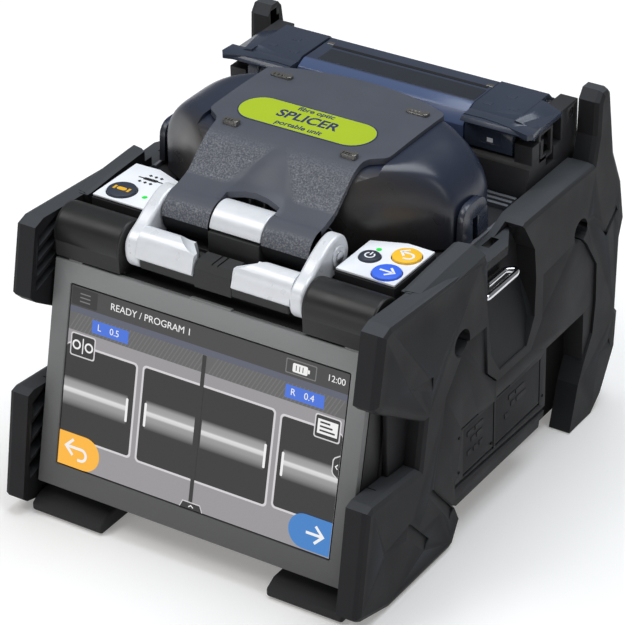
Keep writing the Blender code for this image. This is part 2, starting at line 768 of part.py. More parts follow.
def build_monitor_arm():
    """The silver frame: two arms, and two bar segments joined behind the middle cap."""
    web = [(-58.6, 97.5), (-52.9, 97.5), (-52.9, 99.6), (-58.6, 99.6)]
    made = slab("monitor_arm", web, "YZ", -12, 12, "silver")
    for side in (-1, 1):
        segment = slab("segment", BAR_OUTLINE, "YZ", *span(side, 7.4, 30.0))
        wedge = [(7.0, -63.0), (7.8, -63.0), (7.8, -58.0), (11.5, -54.0), (11.5, -50.0), (7.0, -50.0)]
        wedge = wedge if side > 0 else mirrored(wedge)
        cut(segment, slab("end_slant", wedge, "XY", 99.8, 108.0))
        join(made, segment)
        join(made, slab("arm", ARM_OUTLINE, "YZ", *span(side, ARM_INNER, ARM_OUTER)))
        low, high = span(side, ARM_INNER - 1, ARM_OUTER + 3)
        for y, z in ((HINGE_Y, HINGE_Z), (MONITOR_Y, MONITOR_Z)):
            cut(made, rod("bore", (low, y, z), (high, y, z), HINGE_BORE_R, sides=16))
    smooth(made)
    return made


def build_arm_cover():
    """The dark bar under the silver segments, with the raised cap between them."""
    made = box("arm_lower_cover", (-28.7, -61.2, 92.8), (28.7, -52.3, 97.0), "body")
    join(made, box("cap", (-7.0, -61.6, 92.9), (7.0, -51.9, 101.2)))
    cut(made, box("web_channel", (-8, -58.9, 97.2), (8, -52.6, 99.9)))
    for shift in (-1.1, 1.1):
        cut(made, box("mark", (shift - 0.35, -60.0, 100.7), (shift + 0.35, -54.5, 102)))
    return made


def build_monitor_pin(word, side):
    low, high = span(side, 30.2, 40.0)
    start, end = (low, MONITOR_Y, MONITOR_Z), (high, MONITOR_Y, MONITOR_Z)
    return rod("monitor_pin_" + word, start, end, HINGE_PIN_R, "steel", sides=16)


# ---------------------------------------------------------------- monitor
def tilt(made):
    """Takes a piece from the monitor's own frame to its place: x across, y into the body, z up."""
    bpy.context.view_layer.update()
    place = Matrix.Translation(Vector(MONITOR_FOOT) * MM) @ Matrix.Rotation(-MONITOR_TILT, 4, "X")
    made.matrix_world = place @ made.matrix_world
    bpy.context.view_layer.update()
    return made


def build_bezel():
    made = box("monitor_bezel", (-61.2, 0.0, 0.0), (61.2, 2.6, PLATE_H), "body")
    cut(made, box("window", (-54.4, -1.0, 8.4), (54.4, 4.0, 72.9)))
    return tilt(made)


def build_screen():
    made = box("lcd_screen", (-54.0, 0.5, 8.8), (54.0, 8.6, 72.5), "screen")
    return tilt(made)


def build_monitor_housing():
    made = box("monitor_housing", (-MONITOR_HALF, 2.9, -0.4), (MONITOR_HALF, 12.3, PLATE_H), "body")
    cut(made, box("tray", (-55.5, 2.0, 6.0), (55.5, 9.4, 75.0)))
    tilt(made)
    neck = [(-60.4, 83.0), (-60.4, 89.7), (-63.4, 89.9), (-63.7, 97.5), (-47.3, 97.5), (-48.4, 90.4),
            (-52.6, 82.0)]
    for side in (-1, 1):
        join(made, slab("neck", neck, "YZ", *span(side, 35.4, MONITOR_HALF - 0.3)))
        low, high = [(x, MONITOR_Y, MONITOR_Z) for x in span(side, 35.2, MONITOR_HALF - 0.1)]
        join(made, rod("barrel", low, high, BARREL_R, sides=32))
        low, high = [(x, MONITOR_Y, MONITOR_Z) for x in span(side, 33.0, 40.6)]
        cut(made, rod("bore", low, high, HINGE_BORE_R, sides=16))
    smooth(made)
    return made


# ---------------------------------------------------------------- tube heater
def heater_bore(low, high):
    return rod("bore", (low, HEATER_Y, HEATER_Z), (high, HEATER_Y, HEATER_Z), HEATER_BORE_R, sides=16)


def build_heater_base():
    profile = [(34.2, 97.6), (70.5, 97.6), (70.5, 108.0), (68.5, 110.0), (40.0, 110.0), (37.2, 108.2),
               (34.2, 101.0)]
    made = slab("heater_base", profile, "YZ", -HEATER_HALF, HEATER_HALF, "deck")
    for side in (-1, 1):
        join(made, box("front_post", *ordered(side, (53.5, 38.7, 108.0), (HEATER_HALF, 46.5, 116.0))))
        join(made, box("rear_post", *ordered(side, (53.5, 58.5, 108.0), (HEATER_HALF, 70.0, 121.0))))
    cut(made, box("trough", (-33.0, 46.0, 102.5), (33.0, 56.0, 112.0)))
    cut(made, box("fibre_path", (-62.0, 48.5, 105.0), (62.0, 53.5, 124.0)))
    cut(made, heater_bore(-62, 62))
    return made


def build_heater_element():
    made = box("heater_element", (-32.4, 46.5, 102.9), (32.4, 55.5, 109.4), "steel")
    cut(made, box("channel", (-34, 48.5, 105.0), (34, 53.5, 112)))
    return made


def lid_profile(top):
    """An L-shaped shell: skirt at the front, flat top, hinge barrel at the back."""
    front, foot, wall = LID_FRONT, 111.0, 2.4
    outer = [(front, foot), (front, 117.2), (front + 2.8, top - 1.6), (front + 6.5, top),
             (HEATER_Y - 2.0, top)]
    barrel = arc((HEATER_Y, HEATER_Z), 3.3, 80, -170, 12)
    inner = [(HEATER_Y - 3.6, top - wall), (front + 7.4, top - wall), (front + 4.6, top - 3.6),
             (front + wall, 116.8), (front + wall, foot)]
    return outer + barrel + inner


def build_heater_lid():
    made = slab("heater_lid", lid_profile(LID_TOP), "YZ", -LID_HALF, LID_HALF, "smoke")
    cut(made, heater_bore(-40, 40))
    smooth(made)
    return made


def build_heater_clamp(word, side):
    low, high = span(side, CLAMP_INNER, CLAMP_OUTER)
    made = slab("heater_clamp_" + word, lid_profile(CLAMP_TOP), "YZ", low, high, "smoke")
    lip = [(35.4, 113.0), (35.4, 121.0), (36.6, 122.2), (42.4, 122.2), (41.6, 119.4), (38.3, 118.8),
           (38.3, 113.0)]
    join(made, slab("lip", lip, "YZ", *span(side, CLAMP_INNER, 60.8)))
    cut(made, heater_bore(*span(side, 30, 60)))
    smooth(made)
    return made


def build_heater_pin():
    low, high = (-59.6, HEATER_Y, HEATER_Z), (59.6, HEATER_Y, HEATER_Z)
    return rod("heater_hinge_pin", low, high, HEATER_PIN_R, "steel", sides=16)


# ---------------------------------------------------------------- assembly
def build_all():
    build_base_shell()
    build_top_deck()
    build_rear_panel()
    box("main_board", (-52, -45, 57.0), (52, 60, 58.6), "board")
    build_inlet()
    build_chassis()
    build_v_groove()
    build_hinge_block()
    build_knuckle()
    build_hinge_pin()
    build_heater_base()
    build_heater_element()
    build_heater_pin()
    for word, side in (("front", -1), ("rear", 1)):
        build_electrode(word, side)
        build_microscope(word, side)
    bpy.context.view_layer.update()
    mirror_copy(build_bumper(), "bumper_left", "bumper")
    for word, side in SIDES:
        build_side_panel(word, side)
        build_front_foot(word, side)
        build_rear_foot(word, side)
        build_keypad_housing(word, side)
        build_key_plate(word, side)
        ring = build_strap_ring(word, side)
        hang("strap_ring_axis_" + word, (side * RING_X, 4.0, RING_Z), ring)
        stage = build_fibre_stage(word, side)
        clamp = build_coating_clamp(word, side)
        slide = hang("fibre_stage_axis_" + word, (side * 34.0, SPLICE_Y, 93.0), stage)
        hang("coating_clamp_axis_" + word, (side * 34.0, CLAMP_PIN_Y, CLAMP_PIN_Z), clamp, parent=slide)
        heater_clamp = build_heater_clamp(word, side)
        hang("heater_clamp_axis_" + word, (side * 43.0, HEATER_Y, HEATER_Z), heater_clamp)
    hang("heater_lid_axis", (0, HEATER_Y, HEATER_Z), build_heater_lid())
    hang("battery_axis", (0, 40, 32.5), build_battery())
    hang("battery_latch_axis", (0, 83, 56.5), build_battery_latch())
    for name in COVERS:
        low_y, high_y, low_z, _ = COVERS[name]
        hang(name + "_axis", (68.5, (low_y + high_y) / 2, low_z), build_port_cover(name))
    for name, look in (("back_key", "yellow"), ("next_key", "blue"), ("power_key", "dark_key"),
                       ("heater_key", "dark_key")):
        x, y, _ = KEYS[name]
        hang(name + "_axis", (x, y, KEY_FOOT), build_key(name, look))
    hang("hood_axis", (0, HINGE_Y, HINGE_Z), build_hood_panel(), build_hood_shell(),
         build_fibre_guide("left", -1), build_fibre_guide("right", 1), build_presser())
    arm = hang("monitor_arm_axis", (0, HINGE_Y, HINGE_Z), build_monitor_arm(), build_arm_cover(),
               build_monitor_pin("left", -1), build_monitor_pin("right", 1))
    hang("monitor_axis", (0, MONITOR_Y, MONITOR_Z), build_monitor_housing(), build_bezel(), build_screen(),
         parent=arm)


build_all()
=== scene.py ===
"""The looks of a fiber fusion splicer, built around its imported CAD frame.

Lengths are millimetres here and the helpers turn them into metres. +X is the operator's right,
+Y the back and +Z up, as in the frame.
"""
import json
import math

import bmesh
import bpy
from mathutils import Matrix, Vector


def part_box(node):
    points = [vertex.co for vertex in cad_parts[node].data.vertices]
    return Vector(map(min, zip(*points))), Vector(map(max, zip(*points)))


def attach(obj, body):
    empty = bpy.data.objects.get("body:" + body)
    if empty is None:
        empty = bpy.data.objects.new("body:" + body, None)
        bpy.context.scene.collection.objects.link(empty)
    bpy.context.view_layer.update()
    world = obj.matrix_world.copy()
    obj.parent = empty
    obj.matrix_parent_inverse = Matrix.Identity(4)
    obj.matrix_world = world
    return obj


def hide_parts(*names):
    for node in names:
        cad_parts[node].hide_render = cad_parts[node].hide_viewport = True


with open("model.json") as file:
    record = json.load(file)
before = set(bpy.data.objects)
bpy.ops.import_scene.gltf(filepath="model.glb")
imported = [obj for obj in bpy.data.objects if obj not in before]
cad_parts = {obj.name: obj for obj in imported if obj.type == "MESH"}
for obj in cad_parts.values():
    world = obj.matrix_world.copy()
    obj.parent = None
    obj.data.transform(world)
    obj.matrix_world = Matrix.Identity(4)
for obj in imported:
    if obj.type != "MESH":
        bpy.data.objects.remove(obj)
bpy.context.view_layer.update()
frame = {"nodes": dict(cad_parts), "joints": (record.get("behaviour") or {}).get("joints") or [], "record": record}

MM = 0.001
SIDES = (("left", -1), ("right", 1))
BODY_OF = {node: body for body, nodes in frame["record"]["behaviour"]["bodies"].items() for node in nodes}
SLOT_OF = {row["node"]: row["material_slot"] for row in frame["record"]["subparts"]}


# ---------------------------------------------------------------- places taken from the frame
JOINTS = {joint["name"]: joint for joint in frame["joints"]}


def joint_axis(name):
    """The y and z of an axis that runs along X."""
    return [value / MM for value in JOINTS[name]["pos_m"]][1:]


HINGE_Y, HINGE_Z = joint_axis("hood_open")
MONITOR_Y, MONITOR_Z = joint_axis("monitor_tilt")


def node_box(node):
    low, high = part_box(node)
    return low / MM, high / MM


PLATE_TILT = math.radians(12.8)        # the monitor leans back by this much
PLATE_FOOT = Vector((0.0, -81.5, 10.9))
PLATE_HALF = 61.2
PLATE_HEIGHT = 80.3
PLATE_PLACE = Matrix.Translation(PLATE_FOOT * MM) @ Matrix.Rotation(-PLATE_TILT, 4, "X")
GLASS_Y = 0.5                          # the display's face, in the plate's own frame
FILM = 0.03                            # the step from one layer of the display to the next
PANEL_HALF = 34.8
PANEL_THICKNESS = 2.2
WELD = 0.003 * MM                      # points closer than this are one point


def show(name, data):
    """A new object with this data, in the scene."""
    made = bpy.data.objects.new(name, data)
    bpy.context.scene.collection.objects.link(made)
    return made


def evaluated(made):
    """A new mesh of an object, with its modifiers or its curve's thickness applied."""
    bpy.context.view_layer.update()
    return bpy.data.meshes.new_from_object(made.evaluated_get(bpy.context.evaluated_depsgraph_get()))


# ---------------------------------------------------------------- camera, floor and light
CAMERA_PLACE = Vector((485.1, -744.3, 583.7))
CAMERA_AZIMUTH = math.radians(33.22)
CAMERA_ELEVATION = math.radians(30.80)
CAMERA_ROLL = math.radians(-1.04)
CAMERA_LENS = 175.0
LIGHTS = (      # name, place in metres, height it aims at, size in metres, power and colour
    ("key", (-0.6, -0.55, 1.2), 0.06, (0.6, 0.6), 5.6, (1.0, 0.99, 0.97)),
    ("top", (0.1, 0.3, 1.3), 0.08, (1.1, 0.9), 13.5, (0.9, 0.95, 1.0)),
    ("side", (1.0, -0.2, 0.7), 0.08, (0.25, 0.6), 0.8, (1.0, 1.0, 1.0)),
    ("front", (-0.25, -1.2, 0.3), 0.06, (0.7, 0.4), 2.4, (1.0, 1.0, 1.0)),
)


def make_camera():
    sa, ca = math.sin(CAMERA_AZIMUTH), math.cos(CAMERA_AZIMUTH)
    se, ce = math.sin(CAMERA_ELEVATION), math.cos(CAMERA_ELEVATION)
    back = Vector((sa * ce, -ca * ce, se))
    right = Vector((ca, sa, 0.0))
    up = back.cross(right)
    cr, sr = math.cos(CAMERA_ROLL), math.sin(CAMERA_ROLL)
    rotation = Matrix((cr * right + sr * up, cr * up - sr * right, back)).transposed().to_4x4()
    data = bpy.data.cameras.new("camera")
    data.lens = CAMERA_LENS
    data.sensor_width = 36.0
    data.clip_start, data.clip_end = 0.01, 20.0
    made = show("camera", data)
    made.matrix_world = Matrix.Translation(CAMERA_PLACE * MM) @ rotation
    bpy.context.scene.camera = made


def make_lights():
    for name, place, aim, size, power, colour in LIGHTS:
        data = bpy.data.lights.new(name, "AREA")
        data.shape = "RECTANGLE"
        data.size, data.size_y = size
        data.energy = power
        data.color = colour
        made = show(name, data)
        made.location = place
        made.rotation_mode = "QUATERNION"
        made.rotation_quaternion = (Vector((0, 0, aim)) - Vector(place)).to_track_quat("-Z", "Y")


def make_studio():
    scene = bpy.context.scene
    scene.view_settings.view_transform = "Standard"
    scene.world = bpy.data.worlds.new("studio")
    scene.world.use_nodes = True
    background = scene.world.node_tree.nodes["Background"]
    background.inputs["Color"].default_value = (0.95, 0.97, 1.0, 1.0)
    background.inputs["Strength"].default_value = 0.2
    make_lights()
    bm = bmesh.new()
    bmesh.ops.create_circle(bm, cap_ends=True, segments=96, radius=4.0)
    mesh = bpy.data.meshes.new("floor")
    bm.to_mesh(mesh)
    bm.free()
    floor = show("floor", mesh)
    floor.location.z = -0.0004         # the feet stand just above it
    mesh.materials.append(new_material("floor", {
        "Base Color": (0.86, 0.85, 0.84, 1.0), "Roughness": 0.85, "Specular IOR Level": 0.1,
        "Emission Color": (1.0, 0.985, 0.965, 1.0), "Emission Strength": 0.22})[0])


# ---------------------------------------------------------------- shader nodes
def linear(red, green, blue):
    """A screen colour of 0 to 255 as the linear colour that shaders take."""
    def one(value):
        value /= 255
        return value / 12.92 if value <= 0.04045 else ((value + 0.055) / 1.055) ** 2.4
    return (one(red), one(green), one(blue), 1.0)


def new_material(name, sockets):
    """A material with constants on its shader's own sockets, its node tree and its shader."""
    made = bpy.data.materials.new(name)
    made.use_nodes = True
    shader = made.node_tree.nodes["Principled BSDF"]
    for socket, value in sockets.items():
        shader.inputs[socket].default_value = value
    return made, made.node_tree, shader


def feed(tree, inputs, values):
    """Sets a node's inputs. Each value is a constant or another node's output."""
    for socket, value in values.items():
        if isinstance(value, bpy.types.NodeSocket):
            tree.links.new(value, inputs[socket])
        else:
            inputs[socket].default_value = value


def node(tree, kind, values):
    made = tree.nodes.new("ShaderNode" + kind)
    feed(tree, made.inputs, values)
    return made


def own_place(tree, output="Object"):
    """The place of a point in the piece's own space, or its normal there."""
    return tree.nodes.new("ShaderNodeTexCoord").outputs[output]


def noise(tree, size, detail=3.0, roughness=0.55, place=None):
    """A noise whose features are about size millimetres across, in the piece's own space."""
    return node(tree, "TexNoise", {"Scale": 1.0 / (size * MM), "Detail": detail, "Roughness": roughness,
                                   "Vector": own_place(tree) if place is None else place}).outputs["Fac"]


def ramp(tree, source, low, high, low_value, high_value):
    return node(tree, "MapRange", {"Value": source, "From Min": low, "From Max": high, "To Min": low_value,
                                   "To Max": high_value}).outputs["Result"]


def fade(tree, value, start, end):
    """Zero before start and one after end; start may be the larger one."""
    return ramp(tree, value, start, end, 0.0, 1.0)


def node_math(tree, operation, *values):
    """One Math node; each value is a number or another node's output."""
    made = tree.nodes.new("ShaderNodeMath")
    made.operation = operation
    feed(tree, made.inputs, dict(enumerate(values)))
    return made.outputs["Value"]


def coordinates(tree):
    """The piece's own X, Y and Z in millimetres."""
    scale = tree.nodes.new("ShaderNodeVectorMath")
    scale.operation = "SCALE"
    feed(tree, scale.inputs, {"Vector": own_place(tree), "Scale": 1.0 / MM})
    split = node(tree, "SeparateXYZ", {"Vector": scale.outputs["Vector"]})
    return split.outputs["X"], split.outputs["Y"], split.outputs["Z"]


def blend(tree, target, first, second, factor):
    """Feeds a socket with a mix of two colours."""
    mix = tree.nodes.new("ShaderNodeMix")
    mix.data_type = "RGBA"
    feed(tree, mix.inputs, {"A": first, "B": second, "Factor": factor})
    tree.links.new(mix.outputs["Result"], target)


def tint(tree, target, colour, factor, spread):
    """Varies a colour between a darker and a lighter tone."""
    dark = [channel * (1 - spread) for channel in colour[:3]] + [1.0]
    light = [min(1.0, channel * (1 + spread)) for channel in colour[:3]] + [1.0]
    blend(tree, target, dark, light, factor)


def uneven_gloss(tree, shader, cloud, low, high):
    tree.links.new(ramp(tree, cloud, 0.3, 0.7, low, high), shader.inputs["Roughness"])


def add_bump(tree, shader, height, strength, depth):
    """Adds a bump on top of the normal that the shader has."""
    bump = node(tree, "Bump", {"Strength": strength, "Distance": depth * MM, "Height": height})
    for before in shader.inputs["Normal"].links:
        tree.links.new(before.from_socket, bump.inputs["Normal"])
    tree.links.new(bump.outputs["Normal"], shader.inputs["Normal"])


def second_tone(made, colour, factor):
    """Mixes a second base colour into a material where factor is one."""
    tree = made.node_tree
    base = tree.nodes["Principled BSDF"].inputs["Base Color"]
    blend(tree, base, base.links[0].from_socket, colour, factor)
    return made


# ---------------------------------------------------------------- materials
def grained(name, colour, roughness, grain=0.35, depth=0.03, spread=0.14, specular=0.35):
    """A moulded plastic: fine grain in the surface, cloudy tone and slightly uneven gloss."""
    made, tree, shader = new_material(name, {"Specular IOR Level": specular})
    cloud = noise(tree, 14.0, 2.0)
    fine = noise(tree, grain, 2.0, 0.7)
    tone = node_math(tree, "MULTIPLY_ADD", fine, 0.35, ramp(tree, cloud, 0.25, 0.75, 0.0, 0.65))
    tint(tree, shader.inputs["Base Color"], colour, tone, spread)
    uneven_gloss(tree, shader, cloud, roughness - 0.05, roughness + 0.05)
    if depth > 0:
        add_bump(tree, shader, fine, 0.6, depth)
    return made


def leather(made, mask):
    """Adds a coarse, slightly paler leather grain to a material where mask is one."""
    tree = made.node_tree
    coarse = noise(tree, 0.55, 2.0, 0.6)
    worn = node_math(tree, "MULTIPLY", fade(tree, coarse, 0.42, 0.75), mask)
    second_tone(made, linear(156, 157, 160), node_math(tree, "MULTIPLY", worn, 0.62))
    add_bump(tree, tree.nodes["Principled BSDF"], node_math(tree, "MULTIPLY", coarse, mask), 1.0, 0.3)
    return made


def metal(name, colour, roughness, brush=None, metallic=1.0):
    """A metal with faint cloudiness, or brushed along one axis."""
    made, tree, shader = new_material(name, {"Metallic": metallic})
    if brush is None:
        cloud = noise(tree, 6.0)
    else:
        stretch = [0.04 if axis == brush else 1.0 for axis in "XYZ"]
        place = node(tree, "Mapping", {"Scale": stretch, "Vector": own_place(tree)}).outputs["Vector"]
        cloud = noise(tree, 0.25, place=place)
    tint(tree, shader.inputs["Base Color"], colour, cloud, 0.07)
    uneven_gloss(tree, shader, cloud, roughness - 0.04, roughness + 0.05)
    return made


def smoked(name, colour, transmission, roughness):
    """A translucent smoky plastic with a glossy face."""
    made, tree, shader = new_material(name, {"Transmission Weight": transmission, "IOR": 1.46,
                                             "Specular IOR Level": 0.4})
    cloud = noise(tree, 20.0, 2.0)
    tint(tree, shader.inputs["Base Color"], colour, cloud, 0.12)
    uneven_gloss(tree, shader, cloud, roughness - 0.03, roughness + 0.04)
    return made


def lit(name, colour, strength):
    """A lit part of the display, with a faint pixel-scale unevenness."""
    made, tree, shader = new_material(name, {
        "Base Color": (0.01, 0.01, 0.01, 1.0), "Roughness": 0.35, "Specular IOR Level": 0.25,
        "Emission Strength": strength})
    tint(tree, shader.inputs["Emission Color"], colour, noise(tree, 0.5, 1.0), 0.04)
    return made


def bumper_painted_top_light_look():
    """Matt black plastic with painted top light: its upward faces are painted paler, as if lit from above."""
    made = grained("bumper_matt", linear(28, 28, 30), 0.6, grain=0.45, depth=0.04, specular=0.2)
    tree = made.node_tree
    # Painted light: upward faces get a paler tone that stands in for light falling from above.
    up = node(tree, "SeparateXYZ", {"Vector": own_place(tree, "Normal")}).outputs["Z"]
    return second_tone(made, linear(65, 67, 70), fade(tree, up, 0.15, 0.85))


def bezel_painted_top_light_look():
    """The monitor's bezel, with painted light: a little paler towards its top."""
    made = grained("bezel_plastic", linear(92, 92, 92), 0.55, grain=0.25, depth=0.008, spread=0.04,
                   specular=0.2)
    tree = made.node_tree
    # Painted light: the paler tone towards the top stands in for light falling from above.
    return second_tone(made, linear(140, 141, 141), fade(tree, coordinates(tree)[2], 20.0, 92.0))


def hood_look():
    """Satin grey-blue, with a leather grain on both sides of the front slope."""
    made = grained("hood_satin", linear(75, 78, 87), 0.42, grain=0.25, depth=0.012, spread=0.05)
    tree = made.node_tree
    x, y, z = coordinates(tree)
    across = node_math(tree, "ABSOLUTE", x)
    edge = node_math(tree, "MULTIPLY_ADD", y, -0.84, -15.7)
    beside = fade(tree, node_math(tree, "SUBTRACT", across, edge), 0.0, 2.0)
    above = fade(tree, y, -34.0, -33.0)
    below = fade(tree, y, -18.5, -24.5)
    mask = node_math(tree, "MULTIPLY", node_math(tree, "MULTIPLY", beside, above), below)
    roll_front = node_math(tree, "MULTIPLY", fade(tree, y, -43.6, -44.6), fade(tree, z, 112.9, 111.6))
    return leather(made, node_math(tree, "MAXIMUM", mask, roll_front))


def dome_painted_reflection_look():
    """Satin, with painted reflections: a blue-grey sky reflection painted on top and at the sides and a warm dark
    grey reflection painted in front.
    """
    made = grained("dome_satin", linear(36, 43, 60), 0.3, grain=3.0, depth=0.0, spread=0.06, specular=0.55)
    tree = made.node_tree
    x, y, z = coordinates(tree)
    # Painted reflection: the blue-grey top and sides and the warm front tone stand in for what the satin reflects.
    swept = node_math(tree, "MULTIPLY_ADD", node_math(tree, "ABSOLUTE", x), -0.42, y)
    return second_tone(made, linear(58, 55, 53), fade(tree, swept, -27.0, -34.0))


def lid_painted_reflection_look():
    """The smoky plastic of the heater's lid, with a paler, bluer sky reflection painted on its front slope."""
    made = smoked("lid_smoke", linear(58, 65, 81), 0.1, 0.16)
    tree = made.node_tree
    # Painted reflection: the paler front slope stands in for the sky reflected there.
    return second_tone(made, linear(80, 94, 128), fade(tree, coordinates(tree)[1], 46.6, 45.6))


def fibre_look():
    """The bright fibre on the display: soft edges and a bright core, across the piece's height."""
    made, tree, shader = new_material("screen_fibre", {
        "Base Color": (0.01, 0.01, 0.01, 1.0), "Roughness": 0.35, "Specular IOR Level": 0.2,
        "Emission Strength": 0.95})
    split = node(tree, "SeparateXYZ", {"Vector": own_place(tree, "Generated")})
    tones = node(tree, "ValToRGB", {"Fac": split.outputs["Z"]})
    steps = tones.color_ramp.elements
    steps[0].color = steps[1].color = linear(62, 61, 62)
    for position, grey in ((0.14, 120), (0.3, 150), (0.44, 158), (0.5, 212), (0.6, 226), (0.66, 168),
                           (0.84, 156)):
        steps.new(position).color = linear(grey, grey - 1, grey)
    tree.links.new(tones.outputs["Color"], shader.inputs["Emission Color"])
    return made


LOOKS = {name: grained(name, linear(*colour), roughness, **how) for name, colour, roughness, how in (
    ("housing_plastic", (52, 52, 52), 0.5, dict(grain=0.3, depth=0.012, specular=0.2)),
    ("deck_plastic", (46, 46, 48), 0.48, dict(grain=0.3, depth=0.02, specular=0.25)),
    ("key_plate_plastic", (240, 242, 246), 0.4, dict(depth=0.0, spread=0.02)),
    ("blue_key_plastic", (62, 110, 235), 0.4, dict(depth=0.0, spread=0.04)),
    ("yellow_key_plastic", (252, 196, 48), 0.4, dict(depth=0.0, spread=0.04)),
    ("dark_key_plastic", (50, 56, 68), 0.4, dict(depth=0.0, spread=0.06)),
    ("screen", (24, 24, 26), 0.25, dict(depth=0.0)),
    ("ceramic", (225, 224, 218), 0.3, dict(depth=0.0, spread=0.03)),
    ("circuit_board", (20, 82, 48), 0.45, dict(grain=1.5, depth=0.05)),
    ("hinge_shade", (26, 26, 27), 0.55, dict(grain=0.4, depth=0.02, specular=0.15)),
    ("void", (14, 13, 12), 0.7, dict(grain=0.5, depth=0.01, specular=0.08)),
    ("foot_rubber", (48, 48, 49), 0.8, dict(grain=0.5, depth=0.05, specular=0.2)),
    ("battery_plastic", (48, 48, 51), 0.55, dict(grain=0.4, depth=0.03)),
    ("barrel_plastic", (34, 34, 34), 0.36, dict(grain=0.3, depth=0.01, spread=0.08, specular=0.3)),
    ("window_gloss", (38, 42, 50), 0.14, dict(depth=0.0, spread=0.06, specular=0.5)),
    # Painted shade for the heater lid's groove.
    ("groove_painted_shade", (14, 15, 18), 0.5, dict(depth=0.0, spread=0.05)),
    ("rib_plastic", (112, 114, 120), 0.4, dict(depth=0.005, spread=0.05)),
    ("label_lime", (168, 190, 38), 0.45, dict(depth=0.0, spread=0.03, specular=0.2)),
    ("label_navy", (44, 46, 92), 0.4, dict(depth=0.0, spread=0.05)),
    ("ink_black", (24, 25, 30), 0.5, dict(depth=0.0, spread=0.05)),
    ("ink_gold", (235, 180, 40), 0.4, dict(depth=0.0, spread=0.05)),
)}
LOOKS.update({name: metal(name, linear(*colour), roughness, **how) for name, colour, roughness, how in (
    ("silver_plastic", (222, 224, 228), 0.3, dict(metallic=0.12)),
    ("steel", (190, 190, 192), 0.3, dict(brush="X")),
    ("alloy", (178, 180, 184), 0.38, dict(brush="X")),
    ("ring_wire", (225, 225, 228), 0.08, {}),
    ("lug_metal", (128, 126, 122), 0.24, dict(metallic=0.75)),
)})
LOOKS.update({name: lit(name, linear(*colour), strength) for name, colour, strength in (
    ("screen_page", (158, 155, 159), 0.89), ("screen_bar", (70, 70, 70), 0.9),
    ("screen_stripe", (93, 96, 111), 0.95), ("screen_band", (99, 99, 99), 0.95),
    ("screen_hatch", (112, 112, 112), 0.95), ("screen_dark", (50, 49, 50), 0.95),
    ("screen_rim", (214, 211, 214), 0.95), ("screen_white", (240, 240, 240), 0.97),
    ("screen_dim", (122, 122, 122), 0.9), ("screen_blue", (72, 116, 220), 0.95),
    ("screen_amber", (255, 184, 62), 0.97), ("screen_sky", (66, 130, 200), 0.95),
    ("led_green", (30, 235, 80), 1.0),
)})
LOOKS.update(bumper_plastic=bumper_painted_top_light_look(), bezel=bezel_painted_top_light_look(), hood=hood_look(), dome_plastic=dome_painted_reflection_look(),
             lid=lid_painted_reflection_look(), smoke_plastic=smoked("smoke_plastic", linear(58, 65, 80), 0.15, 0.18),
             screen_fibre=fibre_look())


# ---------------------------------------------------------------- mesh helpers
def link(name, mesh, look):
    mesh.materials.clear()
    mesh.materials.append(LOOKS[look])
    return show(name, mesh)


def from_bmesh(name, bm, look):
    bmesh.ops.recalc_face_normals(bm, faces=bm.faces)
    mesh = bpy.data.meshes.new(name)
    bm.to_mesh(mesh)
    bm.free()
    return link(name, mesh, look)


def box(name, low, high, look="steel"):
    low, high = Vector(low) * MM, Vector(high) * MM
    bm = bmesh.new()
    bmesh.ops.create_cube(bm, size=1.0)
    bmesh.ops.scale(bm, vec=high - low, verts=bm.verts)
    bmesh.ops.translate(bm, vec=(low + high) / 2, verts=bm.verts)
    return from_bmesh(name, bm, look)


def side_box(name, side, low, high, look="steel"):
    """A box given for the right side, on either side."""
    if side < 0:
        low, high = (-high[0], *low[1:]), (-low[0], *high[1:])
    return box(name, low, high, look)


def rod(name, start, end, radius, look="steel", sides=48):
    start, end = Vector(start) * MM, Vector(end) * MM
    bm = bmesh.new()
    turn = (end - start).to_track_quat("Z", "Y").to_matrix().to_4x4()
    bmesh.ops.create_cone(bm, cap_ends=True, segments=sides, radius1=radius * MM, radius2=radius * MM,
                          depth=(end - start).length, matrix=Matrix.Translation((start + end) / 2) @ turn)
    return from_bmesh(name, bm, look)


def span(side, low, high):
    return (low, high) if side > 0 else (-high, -low)


def hinge_rod(name, side, low, high, radius, look="steel", sides=48):
    """A rod on the front hinge's axis."""
    low, high = span(side, low, high)
    return rod(name, (low, HINGE_Y, HINGE_Z), (high, HINGE_Y, HINGE_Z), radius, look, sides)


def solid_of(curve, name):
    """The mesh of a curve. The curve's own object isn't kept."""
    guide = show(name, curve)
    mesh = evaluated(guide)
    bpy.data.objects.remove(guide, do_unlink=True)
    return mesh


def poly_line(curve, points):
    """Adds a closed line through points in millimetres."""
    spline = curve.splines.new("POLY")
    spline.points.add(len(points) - 1)
    for point, place in zip(spline.points, points):
        point.co = (*(value * MM for value in place), 1.0)
    spline.use_cyclic_u = True


PLANES = {
    "YZ": Matrix(((0, 0, 1), (1, 0, 0), (0, 1, 0))).to_4x4(),
    "XZ": Matrix(((1, 0, 0), (0, 0, 1), (0, 1, 0))).to_4x4(),
    "XY": Matrix.Identity(4),
}


def slab(name, outlines, plane, low, high, look="steel"):
    """One flat outline, or an outline with holes, extruded from low to high along its plane's normal."""
    if not isinstance(outlines[0][0], (tuple, list)):
        outlines = [outlines]
    curve = bpy.data.curves.new(name, "CURVE")
    curve.dimensions = "2D"
    curve.fill_mode = "BOTH"
    curve.extrude = (high - low) / 2 * MM
    for outline in outlines:
        poly_line(curve, [(u, v, 0.0) for u, v in outline])
    mesh = solid_of(curve, name)
    bm = bmesh.new()
    bm.from_mesh(mesh)
    bpy.data.meshes.remove(mesh)
    bmesh.ops.remove_doubles(bm, verts=bm.verts, dist=0.004 * MM)
    bmesh.ops.dissolve_limit(bm, angle_limit=math.radians(0.2), verts=bm.verts, edges=bm.edges)
    place = PLANES[plane] @ Matrix.Translation((0, 0, (low + high) / 2 * MM))
    bmesh.ops.transform(bm, matrix=place, verts=bm.verts)
    return from_bmesh(name, bm, look)


